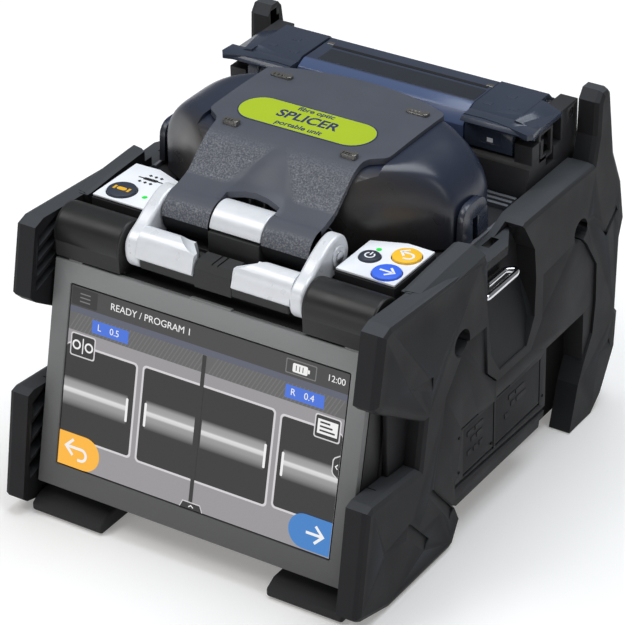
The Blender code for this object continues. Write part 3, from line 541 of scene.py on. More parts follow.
def boolean(target, tool, operation):
    step = target.modifiers.new(operation, "BOOLEAN")
    step.operation = operation
    step.solver = "EXACT"
    step.object = tool
    mesh = evaluated(target)
    bm = bmesh.new()
    bm.from_mesh(mesh)
    bmesh.ops.remove_doubles(bm, verts=bm.verts, dist=WELD)
    bmesh.ops.dissolve_degenerate(bm, dist=0.002 * MM, edges=bm.edges)
    bm.to_mesh(mesh)
    bm.free()
    target.modifiers.clear()
    target.data = mesh
    bpy.data.objects.remove(tool, do_unlink=True)


def cut(target, *tools):
    for tool in tools:
        boolean(target, tool, "DIFFERENCE")


def join(target, other):
    boolean(target, other, "UNION")


def soften(made, width, segments=3, angle=32):
    """Rounds the sharp edges and keeps flat faces flat in shading."""
    made.data.shade_smooth()
    bevel = made.modifiers.new("rounding", "BEVEL")
    bevel.width = width * MM
    bevel.segments = segments
    bevel.limit_method = "ANGLE"
    bevel.angle_limit = math.radians(angle)
    bevel.harden_normals = True
    bevel.miter_outer = "MITER_ARC"
    return made


def crease(made, angle):
    """Smooth shading, but for edges sharper than the angle."""
    made.data.shade_smooth()
    made.data.set_sharp_from_angle(angle=math.radians(angle))
    return made


def settle(made, body, replaced=()):
    """Puts a piece on its body, in place of the CAD nodes that it stands for."""
    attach(made, body)
    if replaced:
        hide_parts(*replaced)
    return made


KEPT_TRIANGLES = ("bumper_left", "bumper_right", "rear_panel", "base_shell")    # large holes in flat faces


def cad_copy(name):
    """A copy of a CAD node's mesh with its seams closed and, where it is safe, its flat faces whole again."""
    bm = bmesh.new()
    bm.from_mesh(frame["nodes"][name].data)
    bmesh.ops.remove_doubles(bm, verts=bm.verts, dist=WELD)
    if name not in KEPT_TRIANGLES:
        bmesh.ops.dissolve_limit(bm, angle_limit=math.radians(0.4), verts=bm.verts, edges=bm.edges)
        bmesh.ops.connect_verts_concave(bm, faces=bm.faces)
    return from_bmesh(name + "_skin", bm, SLOT_OF[name])


def refined(name, width, segments=3, cutters=(), look=None):
    """A CAD node's copy with rounded edges, which stands for the node."""
    made = cad_copy(name)
    if look is not None:
        made.data.materials[0] = LOOKS[look]
    cut(made, *cutters)
    return settle(soften(made, width, segments), BODY_OF[name], [name])


# ---------------------------------------------------------------- outlines
def curve_through(points, steps=6, closed=True):
    """A smooth line through a few points."""
    count = len(points)
    line = []
    for index in range(count if closed else count - 1):
        before = points[(index - 1) % count] if closed or index > 0 else points[0]
        start = points[index]
        end = points[(index + 1) % count]
        after = points[(index + 2) % count] if closed or index + 2 < count else points[-1]
        for step in range(steps):
            t = step / steps
            line.append(tuple(
                0.5 * (2 * p1 + (p2 - p0) * t + (2 * p0 - 5 * p1 + 4 * p2 - p3) * t * t
                       + (3 * p1 - p0 - 3 * p2 + p3) * t ** 3)
                for p0, p1, p2, p3 in zip(before, start, end, after)))
    return line if closed else line + [tuple(points[-1])]


def arc(centre, radius, start, end, steps):
    angles = [math.radians(start + (end - start) * step / steps) for step in range(steps + 1)]
    return [(centre[0] + radius * math.cos(angle), centre[1] + radius * math.sin(angle)) for angle in angles]


def rect(u0, v0, u1, v1):
    return [(u0, v0), (u1, v0), (u1, v1), (u0, v1)]


def round_rect(low, high, radius, steps=8):
    """A rectangle with round corners, as one outline."""
    (x0, y0), (x1, y1) = low, high
    centres = ((x1 - radius, y0 + radius), (x1 - radius, y1 - radius), (x0 + radius, y1 - radius),
               (x0 + radius, y0 + radius))
    return [point for turn, centre in enumerate(centres)
            for point in arc(centre, radius, 90 * turn - 90, 90 * turn, steps)]


def pill(length, height, steps=12):
    return round_rect((-length / 2, -height / 2), (length / 2, height / 2), height / 2 - 0.001, steps)


def moved(outline, u, v):
    return [(u + a, v + b) for a, b in outline]


def sided(side, outline):
    """An outline drawn for the right side, or its mirror image for the left."""
    return outline if side > 0 else [(-u, v) for u, v in reversed(outline)]


def ribbon(points, width):
    """The outline of a line of a given width through a few points."""
    left, right = [], []
    for index, point in enumerate(points):
        here = Vector(point)
        before = Vector(points[max(index - 1, 0)])
        after = Vector(points[min(index + 1, len(points) - 1)])
        arriving = (here - before).normalized() if index > 0 else (after - here).normalized()
        leaving = (after - here).normalized() if index < len(points) - 1 else arriving
        normal = Vector((-(arriving.y + leaving.y), arriving.x + leaving.x)).normalized()
        reach = width / 2 / max(0.35, normal.dot(Vector((-arriving.y, arriving.x))))
        left.append(tuple(here + normal * reach))
        right.append(tuple(here - normal * reach))
    return left + right[::-1]


def ring_faces(bm, low, high):
    """The band of faces between two rings of points."""
    for index in range(len(low)):
        after = (index + 1) % len(low)
        bm.faces.new((low[index], low[after], high[after], high[index]))


def loft(name, rings, look):
    """A closed solid through a stack of outlines that have the same number of points."""
    bm = bmesh.new()
    levels = [[bm.verts.new(Vector(point) * MM) for point in ring] for ring in rings]
    for low, high in zip(levels, levels[1:]):
        ring_faces(bm, low, high)
    bm.faces.new(levels[0][::-1])
    bm.faces.new(levels[-1])
    return from_bmesh(name, bm, look)


def letters(name, words, size, look, weight=0.0):
    """Plain lettering, standing on the XY plane around its own middle."""
    curve = bpy.data.curves.new(name, "FONT")
    curve.body = words
    curve.size = size * MM
    curve.align_x, curve.align_y = "CENTER", "CENTER"
    curve.extrude = 0.01 * MM
    curve.offset = weight * size * MM
    return link(name, solid_of(curve, name), look)


# ---------------------------------------------------------------- bumpers
DENTS = (       # facets in the bumper's outer face; each corner is y, z and depth
    ((-72.8, 23.2, 0.1), (-56.2, 25.4, 0.9), (-58.5, 20.3, 0.02), (-71.5, 20.6, 0.02)),
    ((-56.2, 25.4, 1.0), (-44.4, 12.7, 0.9), (-47.6, 9.8, 0.05), (-58.6, 20.4, 0.02)),
    ((-44.6, 29.1, 0.05), (-42.0, 30.6, 0.9), (-28.5, 15.2, 0.9), (-31.6, 12.6, 0.05)),
    ((-56.5, 76.0, 0.02), (-46.0, 74.0, 0.5), (-42.0, 73.5, 0.6), (-42.3, 68.6, 0.02)),
    ((72.2, 21.9, 0.02), (79.8, 24.6, 0.7), (80.6, 21.2, 0.02)),
    ((64.0, 82.0, 0.05), (74.2, 68.6, 0.8), (82.4, 75.0, 0.8), (81.0, 77.6, 0.02), (74.3, 72.4, 0.02)),
)
RAIL_DIP = ((-9.0, 97.9), (8.0, 97.9), (19.0, 101.8), (19.0, 112.0), (-9.0, 112.0))
RAIL_LEDGE = ((60.8, -12.0), (69.8, -9.4), (70.0, 5.6), (66.5, 12.5), (63.6, 18.0), (60.8, 18.0))
GUTTER = ((-26.5, 23.0), (34.4, 20.8), (34.4, 19.2), (-26.5, 21.2))
CATCHES = ((-22.6, -11.8, 42.4), (0.6, 9.4, 42.2))       # y from, y to, z
PANEL_SCREWS = ((-24.0, 26.5), (-2.4, 26.0), (32.4, 26.0), (-24.0, 40.0))


def dent(side, corners):
    """The tool that cuts one shallow facet."""
    outer = node_box("bumper_right")[1].x
    bm = bmesh.new()
    floor = [bm.verts.new((side * (outer - depth) * MM, y * MM, z * MM)) for y, z, depth in corners]
    lid = [bm.verts.new((side * (outer + 1.0) * MM, y * MM, z * MM)) for y, z, depth in corners]
    bm.faces.new(floor)
    bm.faces.new(list(reversed(lid)))
    for index in range(len(corners)):
        after = (index + 1) % len(corners)
        bm.faces.new((floor[index], lid[index], lid[after], floor[after]))
    bmesh.ops.triangulate(bm, faces=list(bm.faces))
    return from_bmesh("dent", bm, "steel")


def block_top(side):
    """The raised top of the front block, which ends in a step behind the keys."""
    inner, foot = 60.6, 100.0
    rings = []
    for y, top in ((-45.4, 104.0), (-30.0, 105.1), (-12.9, 105.9)):
        section = [(inner, foot), (inner, top - 0.5), (62.0, top), (66.4, top - 0.5), (70.3, top - 3.9),
                   (70.3, foot)]
        rings.append([(side * x, y + 0.35 * (x - inner), z) for x, z in section])
    return loft("block_top", rings, "bumper_plastic")


def make_bumper(word, side):
    name = "bumper_" + word
    made = cad_copy(name)
    cut(made, *(dent(side, corners) for corners in DENTS))
    join(made, block_top(side))
    cut(made, slab("dip", RAIL_DIP, "YZ", *span(side, 60.0, 72.0)))
    join(made, slab("ledge", sided(side, RAIL_LEDGE), "XY", 94.8, 97.9))
    cut(made, side_box("rail_slot", side, (62.6, 1.2, 92.0), (65.4, 8.0, 104.0)))
    cut(made, side_box("horn_slot", side, (60.0, 67.9, 116.5), (66.2, 71.8, 124.4)))
    made.modifiers.new("flat faces", "TRIANGULATE")
    settle(crease(soften(made, 0.7, 3, 45), 5), "root", [name])
    wall = slab("notch_wall_" + word, rect(-60.0, 38.0, -44.0, 80.0), "YZ", *span(side, 62.4, 64.2),
                "bumper_plastic")
    settle(soften(wall, 0.5), "root")
    # Painted shade: a thin near-black sheet in the recess behind the rear leg, where the shadow falls.
    shade = side_box("leg_shade_" + word, side, (61.8, 40.0, 6.5), (62.25, 78.5, 50.0), "void")
    settle(shade, "root")


def make_side_panel(word, side):
    cutters = [slab("gutter", GUTTER, "YZ", *span(side, 69.0, 72.0))]
    cutters += [side_box("catch", side, (69.2, low, z), (72.0, high, z + 0.6)) for low, high, z in CATCHES]
    refined("side_panel_" + word, 0.3, 2, cutters)
    for number, (y, z) in enumerate(PANEL_SCREWS):
        name = "panel_screw_%s_%d" % (word, number)
        screw = rod(name, (side * 69.4, y, z), (side * 69.85, y, z), 0.55, "void", 20)
        settle(screw, "root")


COVER_MARKS = (     # cover, then for each row of dashes its z and the y where each dash starts and ends
    ("output_cover", ((37.4, (-18.6, -14.2, -13.4, -8.2)), (34.2, (-16.0, -13.2, -12.4, -8.6)),
                      (29.8, (-18.4, -15.8, -14.4, -12.0, -10.6, -8.4)))),
    ("inlet_cover", ((36.8, (9.0, 13.0, 13.8, 19.6)), (33.6, (10.6, 13.4, 14.2, 20.6)), (30.6, (6.4, 9.0)))),
)


def make_cover_marks():
    """Raised dashes on the two port covers, where the real ones carry small print."""
    for cover, rows in COVER_MARKS:
        face = node_box(cover)[1].x
        for number, (z, ends) in enumerate(rows):
            dashes = [rect(low, z, high, z + 1.7) for low, high in zip(ends[::2], ends[1::2])]
            name = "%s_mark_%d" % (cover, number)
            made = slab(name, dashes, "YZ", face - 0.1, face + 0.14, "bumper_plastic")
            settle(made, cover)


# ---------------------------------------------------------------- monitor
def on_plate(made):
    made.matrix_world = PLATE_PLACE @ made.matrix_world
    bpy.context.view_layer.update()
    return made


def film(name, outlines, layer, look):
    """A thin film on the display. Layer 0 lies on the glass and each one above it is nearer the eye."""
    near = GLASS_Y - (layer + 1) * FILM
    made = slab("screen_" + name, outlines, "XZ", near, near + FILM * 0.9, "screen_" + look)
    settle(on_plate(made), "monitor")


def words_film(name, words, size, u, v, layer):
    made = letters("screen_" + name, words, size, "screen_white")
    made.matrix_world = (Matrix.Translation(Vector((u, GLASS_Y - (layer + 1) * FILM, v)) * MM)
                         @ Matrix.Rotation(math.radians(90), 4, "X"))
    bpy.context.view_layer.update()
    settle(on_plate(made), "monitor")


SCREEN_HALF, SCREEN_FOOT, SCREEN_TOP = 53.9, 8.9, 72.3
BAND_LOW, BAND_HIGH, HEADER = 57.0, 63.2, 65.4


def make_display_ground():
    half = SCREEN_HALF
    film("page", rect(-half, SCREEN_FOOT, half, BAND_LOW), 0, "page")
    film("band", rect(-half, BAND_LOW, half, BAND_HIGH), 0, "band")
    film("stripe", rect(-half, BAND_HIGH, half, HEADER), 0, "stripe")
    film("header", rect(-half, HEADER, half, SCREEN_TOP), 0, "bar")
    pitch, thick = 1.5, 0.42
    slant = (BAND_HIGH - BAND_LOW) * 0.55
    lines = []
    start = -half
    while start + slant + 0.5 < half:
        if not -2.5 < start < 1.5:         # the divider runs there
            lines.append([(start, BAND_LOW), (start + thick, BAND_LOW), (start + slant + thick, BAND_HIGH),
                          (start + slant, BAND_HIGH)])
        start += pitch
    film("hatch", lines, 1, "hatch")


PANES = (("left", -SCREEN_HALF, -25.9, 19.6, 51.9), ("middle", -22.6, 28.0, 19.4, 52.2),
         ("right", 31.2, SCREEN_HALF, 20.2, 51.6))
FIBRES = (("left", -SCREEN_HALF, -28.2, 30.2, 40.6), ("middle_left", -20.8, -1.4, 31.0, 41.2),
          ("middle_right", 1.4, 26.2, 31.0, 41.2), ("right", 33.0, SCREEN_HALF, 30.4, 40.6))
FIBRE_ENDS = (("a", -28.2, 35.4), ("b", -20.8, 36.0), ("c", 26.2, 36.0), ("d", 33.0, 35.4))


def make_display_views():
    """The three dark panes, the fibres in them and their cut ends."""
    edge = 0.75
    for word, low, high, base, head in PANES:
        outer_low = low - edge if word != "left" else low
        outer_high = high + edge if word != "right" else high
        film("rim_" + word, round_rect((outer_low, base - edge), (outer_high, head + edge), 1.6), 1, "rim")
        film("pane_" + word, round_rect((low, base), (high, head), 1.1), 2, "dark")
    for word, low, high, base, head in FIBRES:
        film("fibre_" + word, rect(low, base, high, head), 3, "fibre")
    for word, u, v in FIBRE_ENDS:
        film("end_" + word, round_rect((u - 0.45, v - 4.2), (u + 0.45, v + 4.2), 0.4), 4, "white")
    film("divider", rect(-0.75, 11.2, 0.75, 63.0), 5, "dark")


def make_display_header():
    film("menu_box", [round_rect((-53.6, 65.9), (-43.4, 71.9), 0.5)], 1, "dark")
    for row in range(3):
        v = 67.3 + row * 1.35
        film("menu_line_" + str(row), rect(-50.3, v, -46.2, v + 0.4), 2, "dim")
    words_film("title", "READY / PROGRAM 1", 3.4, -22.0, 69.0, 2)
    words_film("clock", "12:00", 3.1, 49.3, 69.0, 2)
    case = [round_rect((30.4, 66.3), (41.9, 71.3), 0.4), round_rect((30.75, 66.65), (41.55, 70.95), 0.3)]
    film("battery_box", case, 1, "dim")
    film("battery_body", round_rect((33.0, 67.2), (38.6, 70.2), 0.5), 2, "white")
    film("battery_tip", rect(38.7, 68.1, 39.4, 69.3), 2, "white")
    for cell in range(3):
        film("battery_gap_" + str(cell), rect(34.2 + cell * 1.25, 67.8, 34.5 + cell * 1.25, 69.6), 3, "dark")
    for word, low, sign, angle in (("left", -44.6, "L", "0.5"), ("right", 31.2, "R", "0.4")):
        base, head = 58.1, 62.6
        film("tag_" + word, rect(low, base, low + 14.6, head), 3, "blue")
        words_film("tag_side_" + word, sign, 3.2, low + 2.9, (base + head) / 2, 4)
        words_film("tag_value_" + word, angle, 3.2, low + 9.0, (base + head) / 2, 4)


def make_display_buttons():
    for word, low, high in (("left", -52.6, -42.6), ("right", 43.2, 53.0)):
        film("button_rim_" + word, round_rect((low, 48.2), (high, 56.4), 0.9), 4, "rim")
        film("button_" + word, round_rect((low + 0.45, 48.65), (high - 0.45, 55.95), 0.7), 5, "dark")
    film("split_line", rect(-47.75, 49.6, -47.35, 55.0), 6, "white")
    for shift in (-2.6, 2.4):
        ring = [moved(pill(size, size), -47.5 + shift, 52.3) for size in (3.4, 2.2)]
        film("split_ring_" + str(int(shift)), ring, 6, "white")
    film("list_plate", rect(44.4, 49.9, 51.9, 54.8), 6, "white")
    for row in range(3):
        film("list_line_" + str(row), rect(45.3, 50.7 + row * 1.4, 51.0 - row, 51.3 + row * 1.4), 7, "dark")

    half, foot = SCREEN_HALF, SCREEN_FOOT
    back_tab = [(-half, foot), (-43.2, foot)] + arc((-43.2, 14.9), 6.0, -90, 90, 16) + [(-half, 20.9)]
    hook = [(-45.9, 12.0), (-44.4, 12.0)] + arc((-44.6, 14.0), 2.0, -80, 90, 10) + [(-50.4, 16.0)]
    next_tab = [(half, 9.4), (half, 21.4)] + arc((43.9, 15.4), 6.0, 90, 270, 16)
    side_tab = [(half, 36.4), (half, 44.8), (51.9, 43.6), (51.3, 42.6), (51.3, 38.6), (51.9, 37.6)]
    side_face = [(half, 36.8), (half, 44.4), (52.1, 43.2), (51.7, 42.3), (51.7, 38.9), (52.1, 38.0)]
    for name, outline, layer, look in (
            ("back_tab", back_tab, 8, "amber"),
            ("back_hook", ribbon(hook, 0.95), 9, "white"),
            ("back_head", ribbon([(-48.0, 18.8), (-50.9, 16.0), (-48.0, 13.2)], 0.95), 9, "white"),
            ("next_tab", next_tab, 8, "sky"),
            ("next_line", ribbon([(44.6, 15.4), (50.6, 15.4)], 0.95), 9, "white"),
            ("next_head", ribbon([(48.0, 18.4), (51.0, 15.4), (48.0, 12.4)], 0.95), 9, "white"),
            ("drawer", [(-4.2, foot), (5.0, foot), (3.9, 11.4), (-3.1, 11.4)], 6, "rim"),
            ("drawer_face", [(-3.9, foot), (4.7, foot), (3.7, 11.05), (-2.9, 11.05)], 7, "dark"),
            ("drawer_mark", ribbon([(-0.5, 9.6), (0.4, 10.3), (1.3, 9.6)], 0.35), 8, "white"),
            ("side_tab", side_tab, 6, "rim"),
            ("side_tab_face", side_face, 7, "dark"),
            ("side_mark", ribbon([(53.4, 41.4), (52.6, 40.6), (53.4, 39.8)], 0.35), 8, "white")):
        film(name, outline, layer, look)


def make_monitor():
    refined("monitor_bezel", 0.45, look="bezel")
    refined("monitor_housing", 0.5)
    for word, side in SIDES:
        low, high = span(side, 35.3, PLATE_HALF + 0.05)
        made = rod("barrel_" + word, (low, MONITOR_Y, MONITOR_Z), (high, MONITOR_Y, MONITOR_Z), 8.35,
                   "barrel_plastic", 80)
        settle(soften(made, 0.9, 4), "monitor")
    for number, (low, high) in enumerate(((-56.1, -50.7), (50.7, 56.1), (-8.0, 8.0))):
        made = box("bezel_tab_" + str(number), (low, 0.5, PLATE_HEIGHT - 0.4),
                   (high, 2.4, PLATE_HEIGHT + 0.5), "bezel")
        settle(on_plate(soften(made, 0.2, 2)), "monitor")
    make_display_ground()
    make_display_views()
    make_display_header()
    make_display_buttons()


# ---------------------------------------------------------------- silver frame of the monitor
ARM = ((-61.7, 96.0), (-59.8, 92.6), (-55.5, 91.2), (-51.0, 92.6), (-47.5, 97.0), (-43.8, 99.4),
       (-38.5, 99.9), (-35.0, 102.3), (-33.9, 106.2), (-35.4, 110.6), (-38.6, 112.9), (-43.6, 112.4),
       (-50.0, 109.4), (-55.0, 106.2), (-59.2, 104.0), (-61.6, 101.0))
BAR = ((-61.6, 96.6), (-51.7, 96.6), (-51.7, 101.6), (-53.0, 104.4), (-55.6, 105.9), (-58.4, 105.2),
       (-60.6, 102.9), (-61.6, 99.8))
BAR_WEDGE = ((6.0, -64.0), (7.6, -64.0), (7.6, -58.6), (12.2, -53.6), (12.2, -49.0), (6.0, -49.0))
CAP = ((-61.5, 92.9), (-51.9, 92.9), (-51.9, 100.4), (-53.4, 102.0), (-59.4, 102.0), (-61.5, 99.6))
CAP_FLARE = ((-7.1, -56.8), (7.1, -56.8), (11.6, -52.2), (-11.6, -52.2))


def make_arms():
    """Two curved arms with round lugs, two bar segments and the dark cap between them."""
    silver, body = "silver_plastic", "monitor_arm"
    outer = node_box(body)[1].x
    for word, side in SIDES:
        made = slab("arm_" + word, curve_through(ARM, 4), "YZ", *span(side, 29.0, outer), silver)
        settle(soften(made, 1.3, 5, 40), body, [body])
        boss = hinge_rod("arm_boss_" + word, side, outer - 0.2, outer + 0.55, 3.6, silver)
        settle(soften(boss, 0.3), body)
        pin = hinge_rod("arm_pin_" + word, side, outer, outer + 0.75, 2.0, "ring_wire")
        settle(soften(pin, 0.25), body)

        bar = slab("bar_" + word, curve_through(BAR, 3), "YZ", *span(side, 7.3, 29.6), silver)
        cut(bar, slab("end_slant", sided(side, BAR_WEDGE), "XY", 96.0, 108.0),
            rod("scoop", (side * 5.5, -61.0, 108.0), (side * 15.5, -50.0, 108.0), 4.6, sides=64))
        settle(soften(bar, 1.1, 5, 25), body, [body])
    cap = slab("arm_cap", CAP, "YZ", -7.1, 7.1, "housing_plastic")
    join(cap, slab("cap_flare", CAP_FLARE, "XY", 97.4, 100.2))
    for shift in (-1.1, 1.1):
        cut(cap, box("mark", (shift - 0.28, -60.2, 101.4), (shift + 0.28, -53.6, 103.0)))
    settle(soften(cap, 0.5), body, ["arm_lower_cover"])
    under = slab("arm_under_bar", rect(-61.3, 93.0, -52.2, 97.2), "YZ", -28.9, 28.9, "housing_plastic")
    settle(soften(under, 0.8, 4), body, ["arm_lower_cover"])


# ---------------------------------------------------------------- wind cover
PANEL_TOP = ((-40.8, 114.1), (-37.5, 114.9), (-32.5, 116.8), (-26.5, 121.5), (-21.5, 125.2), (-15.5, 127.2),
             (-6.5, 127.8), (9.0, 128.0), (24.0, 127.7), (38.0, 127.1))
PANEL_LINE = curve_through(PANEL_TOP, 6, closed=False)
PANEL_RIGHT = ((28.3, -42.8), (28.3, -17.5), (28.5, -15.9), (29.6, -13.9), (31.4, -12.6), (33.6, -11.2),
               (34.6, -9.6), (34.8, -7.5), (34.8, 23.4), (34.3, 25.0), (33.0, 26.2), (25.0, 29.4),
               (16.6, 31.4), (8.3, 32.7), (0.0, 33.2))
KNUCKLE_RELIEF = ((10.3, -52.0), (10.3, -37.2), (8.6, -36.6), (4.5, -35.6), (0.0, -35.2))
BULGE_BASE, BULGE_TIP = -38.0, -19.5
BULGE_HALF, BULGE_TIP_HALF, BULGE_RISE = 12.0, 3.0, 1.0
LUGS = ((-26.7, 20.9, 8.4), (26.7, 20.9, 8.4), (-22.8, -15.3, 6.2), (22.8, -15.3, 6.2))     # x, y, length


def ease(share):
    return share * share * (3 - 2 * share)


def symmetric(right):
    """An outline from its right half, which ends on the middle line."""
    return list(right) + [(-x, y) for x, y in reversed(right[:-1])]


def panel_rise(x, y):
    """The cone-shaped bulge over the hinge knuckle, which runs out up the slope."""
    share = (BULGE_TIP - y) / (BULGE_TIP - BULGE_BASE)
    if share <= 0:
        return 0.0
    share = min(share, 1.0)
    half = BULGE_TIP_HALF + (BULGE_HALF - BULGE_TIP_HALF) * share
    if abs(x) >= half:
        return 0.0
    return BULGE_RISE * ease(min(1.0, share * 2.0)) * math.cos(math.pi / 2 * x / half)


def panel_sheet():
    """The curved panel before its outline is cut, as a grid over X and the profile."""
    columns, half = 97, 38.0
    bm = bmesh.new()
    upper, lower = [[[bm.verts.new(Vector((x, y, z - drop + panel_rise(x, y))) * MM) for y, z in PANEL_LINE]
                     for x in (-half + 2 * half * column / (columns - 1) for column in range(columns))]
                    for drop in (0.0, PANEL_THICKNESS)]
    last = len(PANEL_LINE) - 1
    for a, b, c, d in zip(upper, upper[1:], lower, lower[1:]):
        for row in range(last):
            bm.faces.new((a[row], b[row], b[row + 1], a[row + 1]))
            bm.faces.new((c[row], c[row + 1], d[row + 1], d[row]))
    for a, b, c, d in zip(upper, upper[1:], lower, lower[1:]):
        for row in (0, last):
            bm.faces.new((a[row], c[row], d[row], b[row]))
    for row in range(last):
        for a, c in ((upper[0], lower[0]), (upper[-1], lower[-1])):
            bm.faces.new((a[row], a[row + 1], c[row + 1], c[row]))
    return from_bmesh("hood_panel_skin", bm, "hood")


def make_hood_panel():
    made = panel_sheet()
    boolean(made, slab("plan", symmetric(PANEL_RIGHT), "XY", 90, 140), "INTERSECT")
    for word, side in SIDES:
        join(made, hinge_rod("roll", side, 10.3, 28.25, 7.9, sides=96))
        core = hinge_rod("hinge_core_" + word, side, 10.3, 28.25, 7.6, "hinge_shade", 72)
        settle(core, "hood")
    cut(made, box("under_roll", (-30.0, -50.0, 95.0), (30.0, -38.0, 106.9)))
    cut(made, slab("relief", symmetric(KNUCKLE_RELIEF), "XY", 95, 130))
    settle(soften(made, 0.45, 3, 40), "hood", ["hood_panel"])

    dark = "housing_plastic"
    ribs = 4
    for number in range(ribs):
        x = -8.4 + 16.8 * number / (ribs - 1)
        rib = box("panel_rib_" + str(number), (x - 0.3, -35.0, 108.6), (x + 0.3, -32.0, 113.6), dark)
        settle(rib, "hood")
    settle(box("panel_shelf", (-10.4, -32.4, 108.6), (10.4, -31.0, 114.6), dark), "hood")


def make_lugs():
    """The four metal bosses on the panel, each with three grooves and a small tab."""
    for number, (x, y, length) in enumerate(LUGS):
        outline = moved(pill(length, 2.8), x, y)
        lug = slab("panel_lug_" + str(number), outline, "XY", 127.0, 128.4, "lug_metal")
        for mark in range(3):
            u = x - length * 0.3 + length * 0.18 * mark
            cut(lug, box("groove", (u - 0.35, y - 1.0, 128.1), (u + 0.35, y + 0.5, 130)))
        tab = slab("panel_tab_" + str(number), pill(2.9, 1.9), "XY", 127.0, 128.9, "lug_metal")
        tab.data.transform(Matrix.Translation(Vector((x + length / 2 - 0.9, y, 0.0)) * MM)
                           @ Matrix.Rotation(math.radians(90), 4, "Z"))
        for made in (tab, lug):
            settle(soften(made, 0.28), "hood")


def drape(made, lift):
    """Lets a flat piece lie on the panel's curved top."""
    for vert in made.data.vertices:
        y = vert.co.y / MM
        for (y0, z0), (y1, z1) in zip(PANEL_LINE, PANEL_LINE[1:]):
            if y0 <= y <= y1:
                vert.co.z += (z0 + (z1 - z0) * (y - y0) / (y1 - y0) + lift) * MM
                break
    return made


def sliced(made, low, high, count):
    """Cuts a flat piece across Y into strips, so that it can bend."""
    bm = bmesh.new()
    bm.from_mesh(made.data)
    for number in range(1, count):
        y = (low + (high - low) * number / count) * MM
        bmesh.ops.bisect_plane(bm, geom=bm.verts[:] + bm.edges[:] + bm.faces[:], plane_co=(0, y, 0),
                               plane_no=(0, 1, 0))
    bm.to_mesh(made.data)
    bm.free()


LABEL_WORDS = (("label_line_a", "fibre optic", 3.4, 3.4), ("label_line_b", "SPLICER", 6.6, -2.2),
               ("label_line_c", "portable unit", 3.4, -7.9))      # words, letter height, y


def make_label():
    x, y = -1.4, -2.6
    for name, grow, lift, look in (("label_edge", 0.45, 0.05, "label_navy"),
                                   ("label_face", 0.0, 0.1, "label_lime")):
        made = slab(name, moved(pill(51.0 + 2 * grow, 15.4 + 2 * grow, 20), x, y), "XY", -0.05, 0.05, look)
        sliced(made, y - 8.2, y + 8.2, 12)
        settle(drape(made, lift), "hood")
    for name, words, size, line_y in LABEL_WORDS:
        made = letters(name, words, size, "label_navy", 0.025)
        for vert in made.data.vertices:
            vert.co += Vector((x, line_y, 0.0)) * MM
        settle(drape(made, 0.17), "hood")


def dome_ring(inset_x, inset_y, z, steps=112):
    """One level of the dome: a rounded oblong whose corners are swept back."""
    half_x, half_y, middle_y, power = 57.0 - inset_x, 30.2 - inset_y, 3.3, 5.0
    ring = []
    for step in range(steps):
        angle = 2 * math.pi * step / steps
        c, s = math.cos(angle), math.sin(angle)
        x = half_x * math.copysign(abs(c) ** (2 / power), c)
        y = half_y * math.copysign(abs(s) ** (2 / power), s)
        y *= 1 - (0.5 if y < 0 else 0.3) * ease(min(1.0, max(0.0, (abs(x) - 22.0) / 33.0)))
        ring.append((x, middle_y + y, z))
    return ring


def dome_levels(wall, foot, top, steps):
    """The sides curve over a wide radius and the front over a small one."""
    side_round, front_round, drop = 18.0 - wall, 8.0 - wall, 18.0 - wall
    rings = [dome_ring(wall, wall, foot), dome_ring(wall, wall, (foot + top - drop) / 2)]
    for step in range(steps + 1):
        angle = math.pi / 2 * step / steps
        share = 1 - math.cos(angle)
        rings.append(dome_ring(wall + side_round * share, wall + front_round * share,
                               top - drop + drop * math.sin(angle)))
    return rings


def make_dome():
    made = loft("hood_shell_skin", dome_levels(0.0, 98.4, 126.6, 18), "dome_plastic")
    cut(made, loft("hollow", dome_levels(2.2, 90.0, 123.6, 8), "dome_plastic"))
    cut(made, box("front_hollow", (-30, -24, 90), (30, -13, 114.5)))
    under = [(y, z - PANEL_THICKNESS - 0.25) for y, z in curve_through(PANEL_TOP, 4, closed=False)]
    trench = under + [(40.0, under[-1][1]), (40.0, 140.0), (HINGE_Y, 140.0)]
    cut(made, slab("trench", trench, "YZ", -PANEL_HALF - 0.25, PANEL_HALF + 0.25))
    for word, side in SIDES:
        cut(made, side_box("fibre_slot", side, (50, 0.9, 97.0), (60, 4.1, 107.0)))
    settle(crease(made, 40), "hood", ["hood_shell"])


def make_knuckle():
    """The hinge's silver half barrel, with a dark block under it."""
    centre = (HINGE_Y, HINGE_Z)
    outline = arc(centre, 7.8, -12, 172, 48) + arc(centre, 6.2, 172, -12, 40)
    made = slab("hinge_knuckle_skin", outline, "YZ", -9.85, 9.85, "silver_plastic")
    settle(soften(made, 0.4, 3, 40), "root", ["hinge_knuckle"])
    refined("hinge_block", 0.6)


# ---------------------------------------------------------------- keys
KEYS = {"back_key": (52.4, -28.3), "next_key": (52.3, -40.4), "power_key": (42.3, -34.4),
        "heater_key": (-51.1, -39.1)}
SLEEVE = (-47.1, -28.3)        # the middle of the drawn splice sleeve


def flat_mark(name, outline, top, look, body="root"):
    """A thin drawn sign on a key, or on the key plates for the root."""
    settle(slab(name, outline, "XY", top, top + 0.06, look), body)


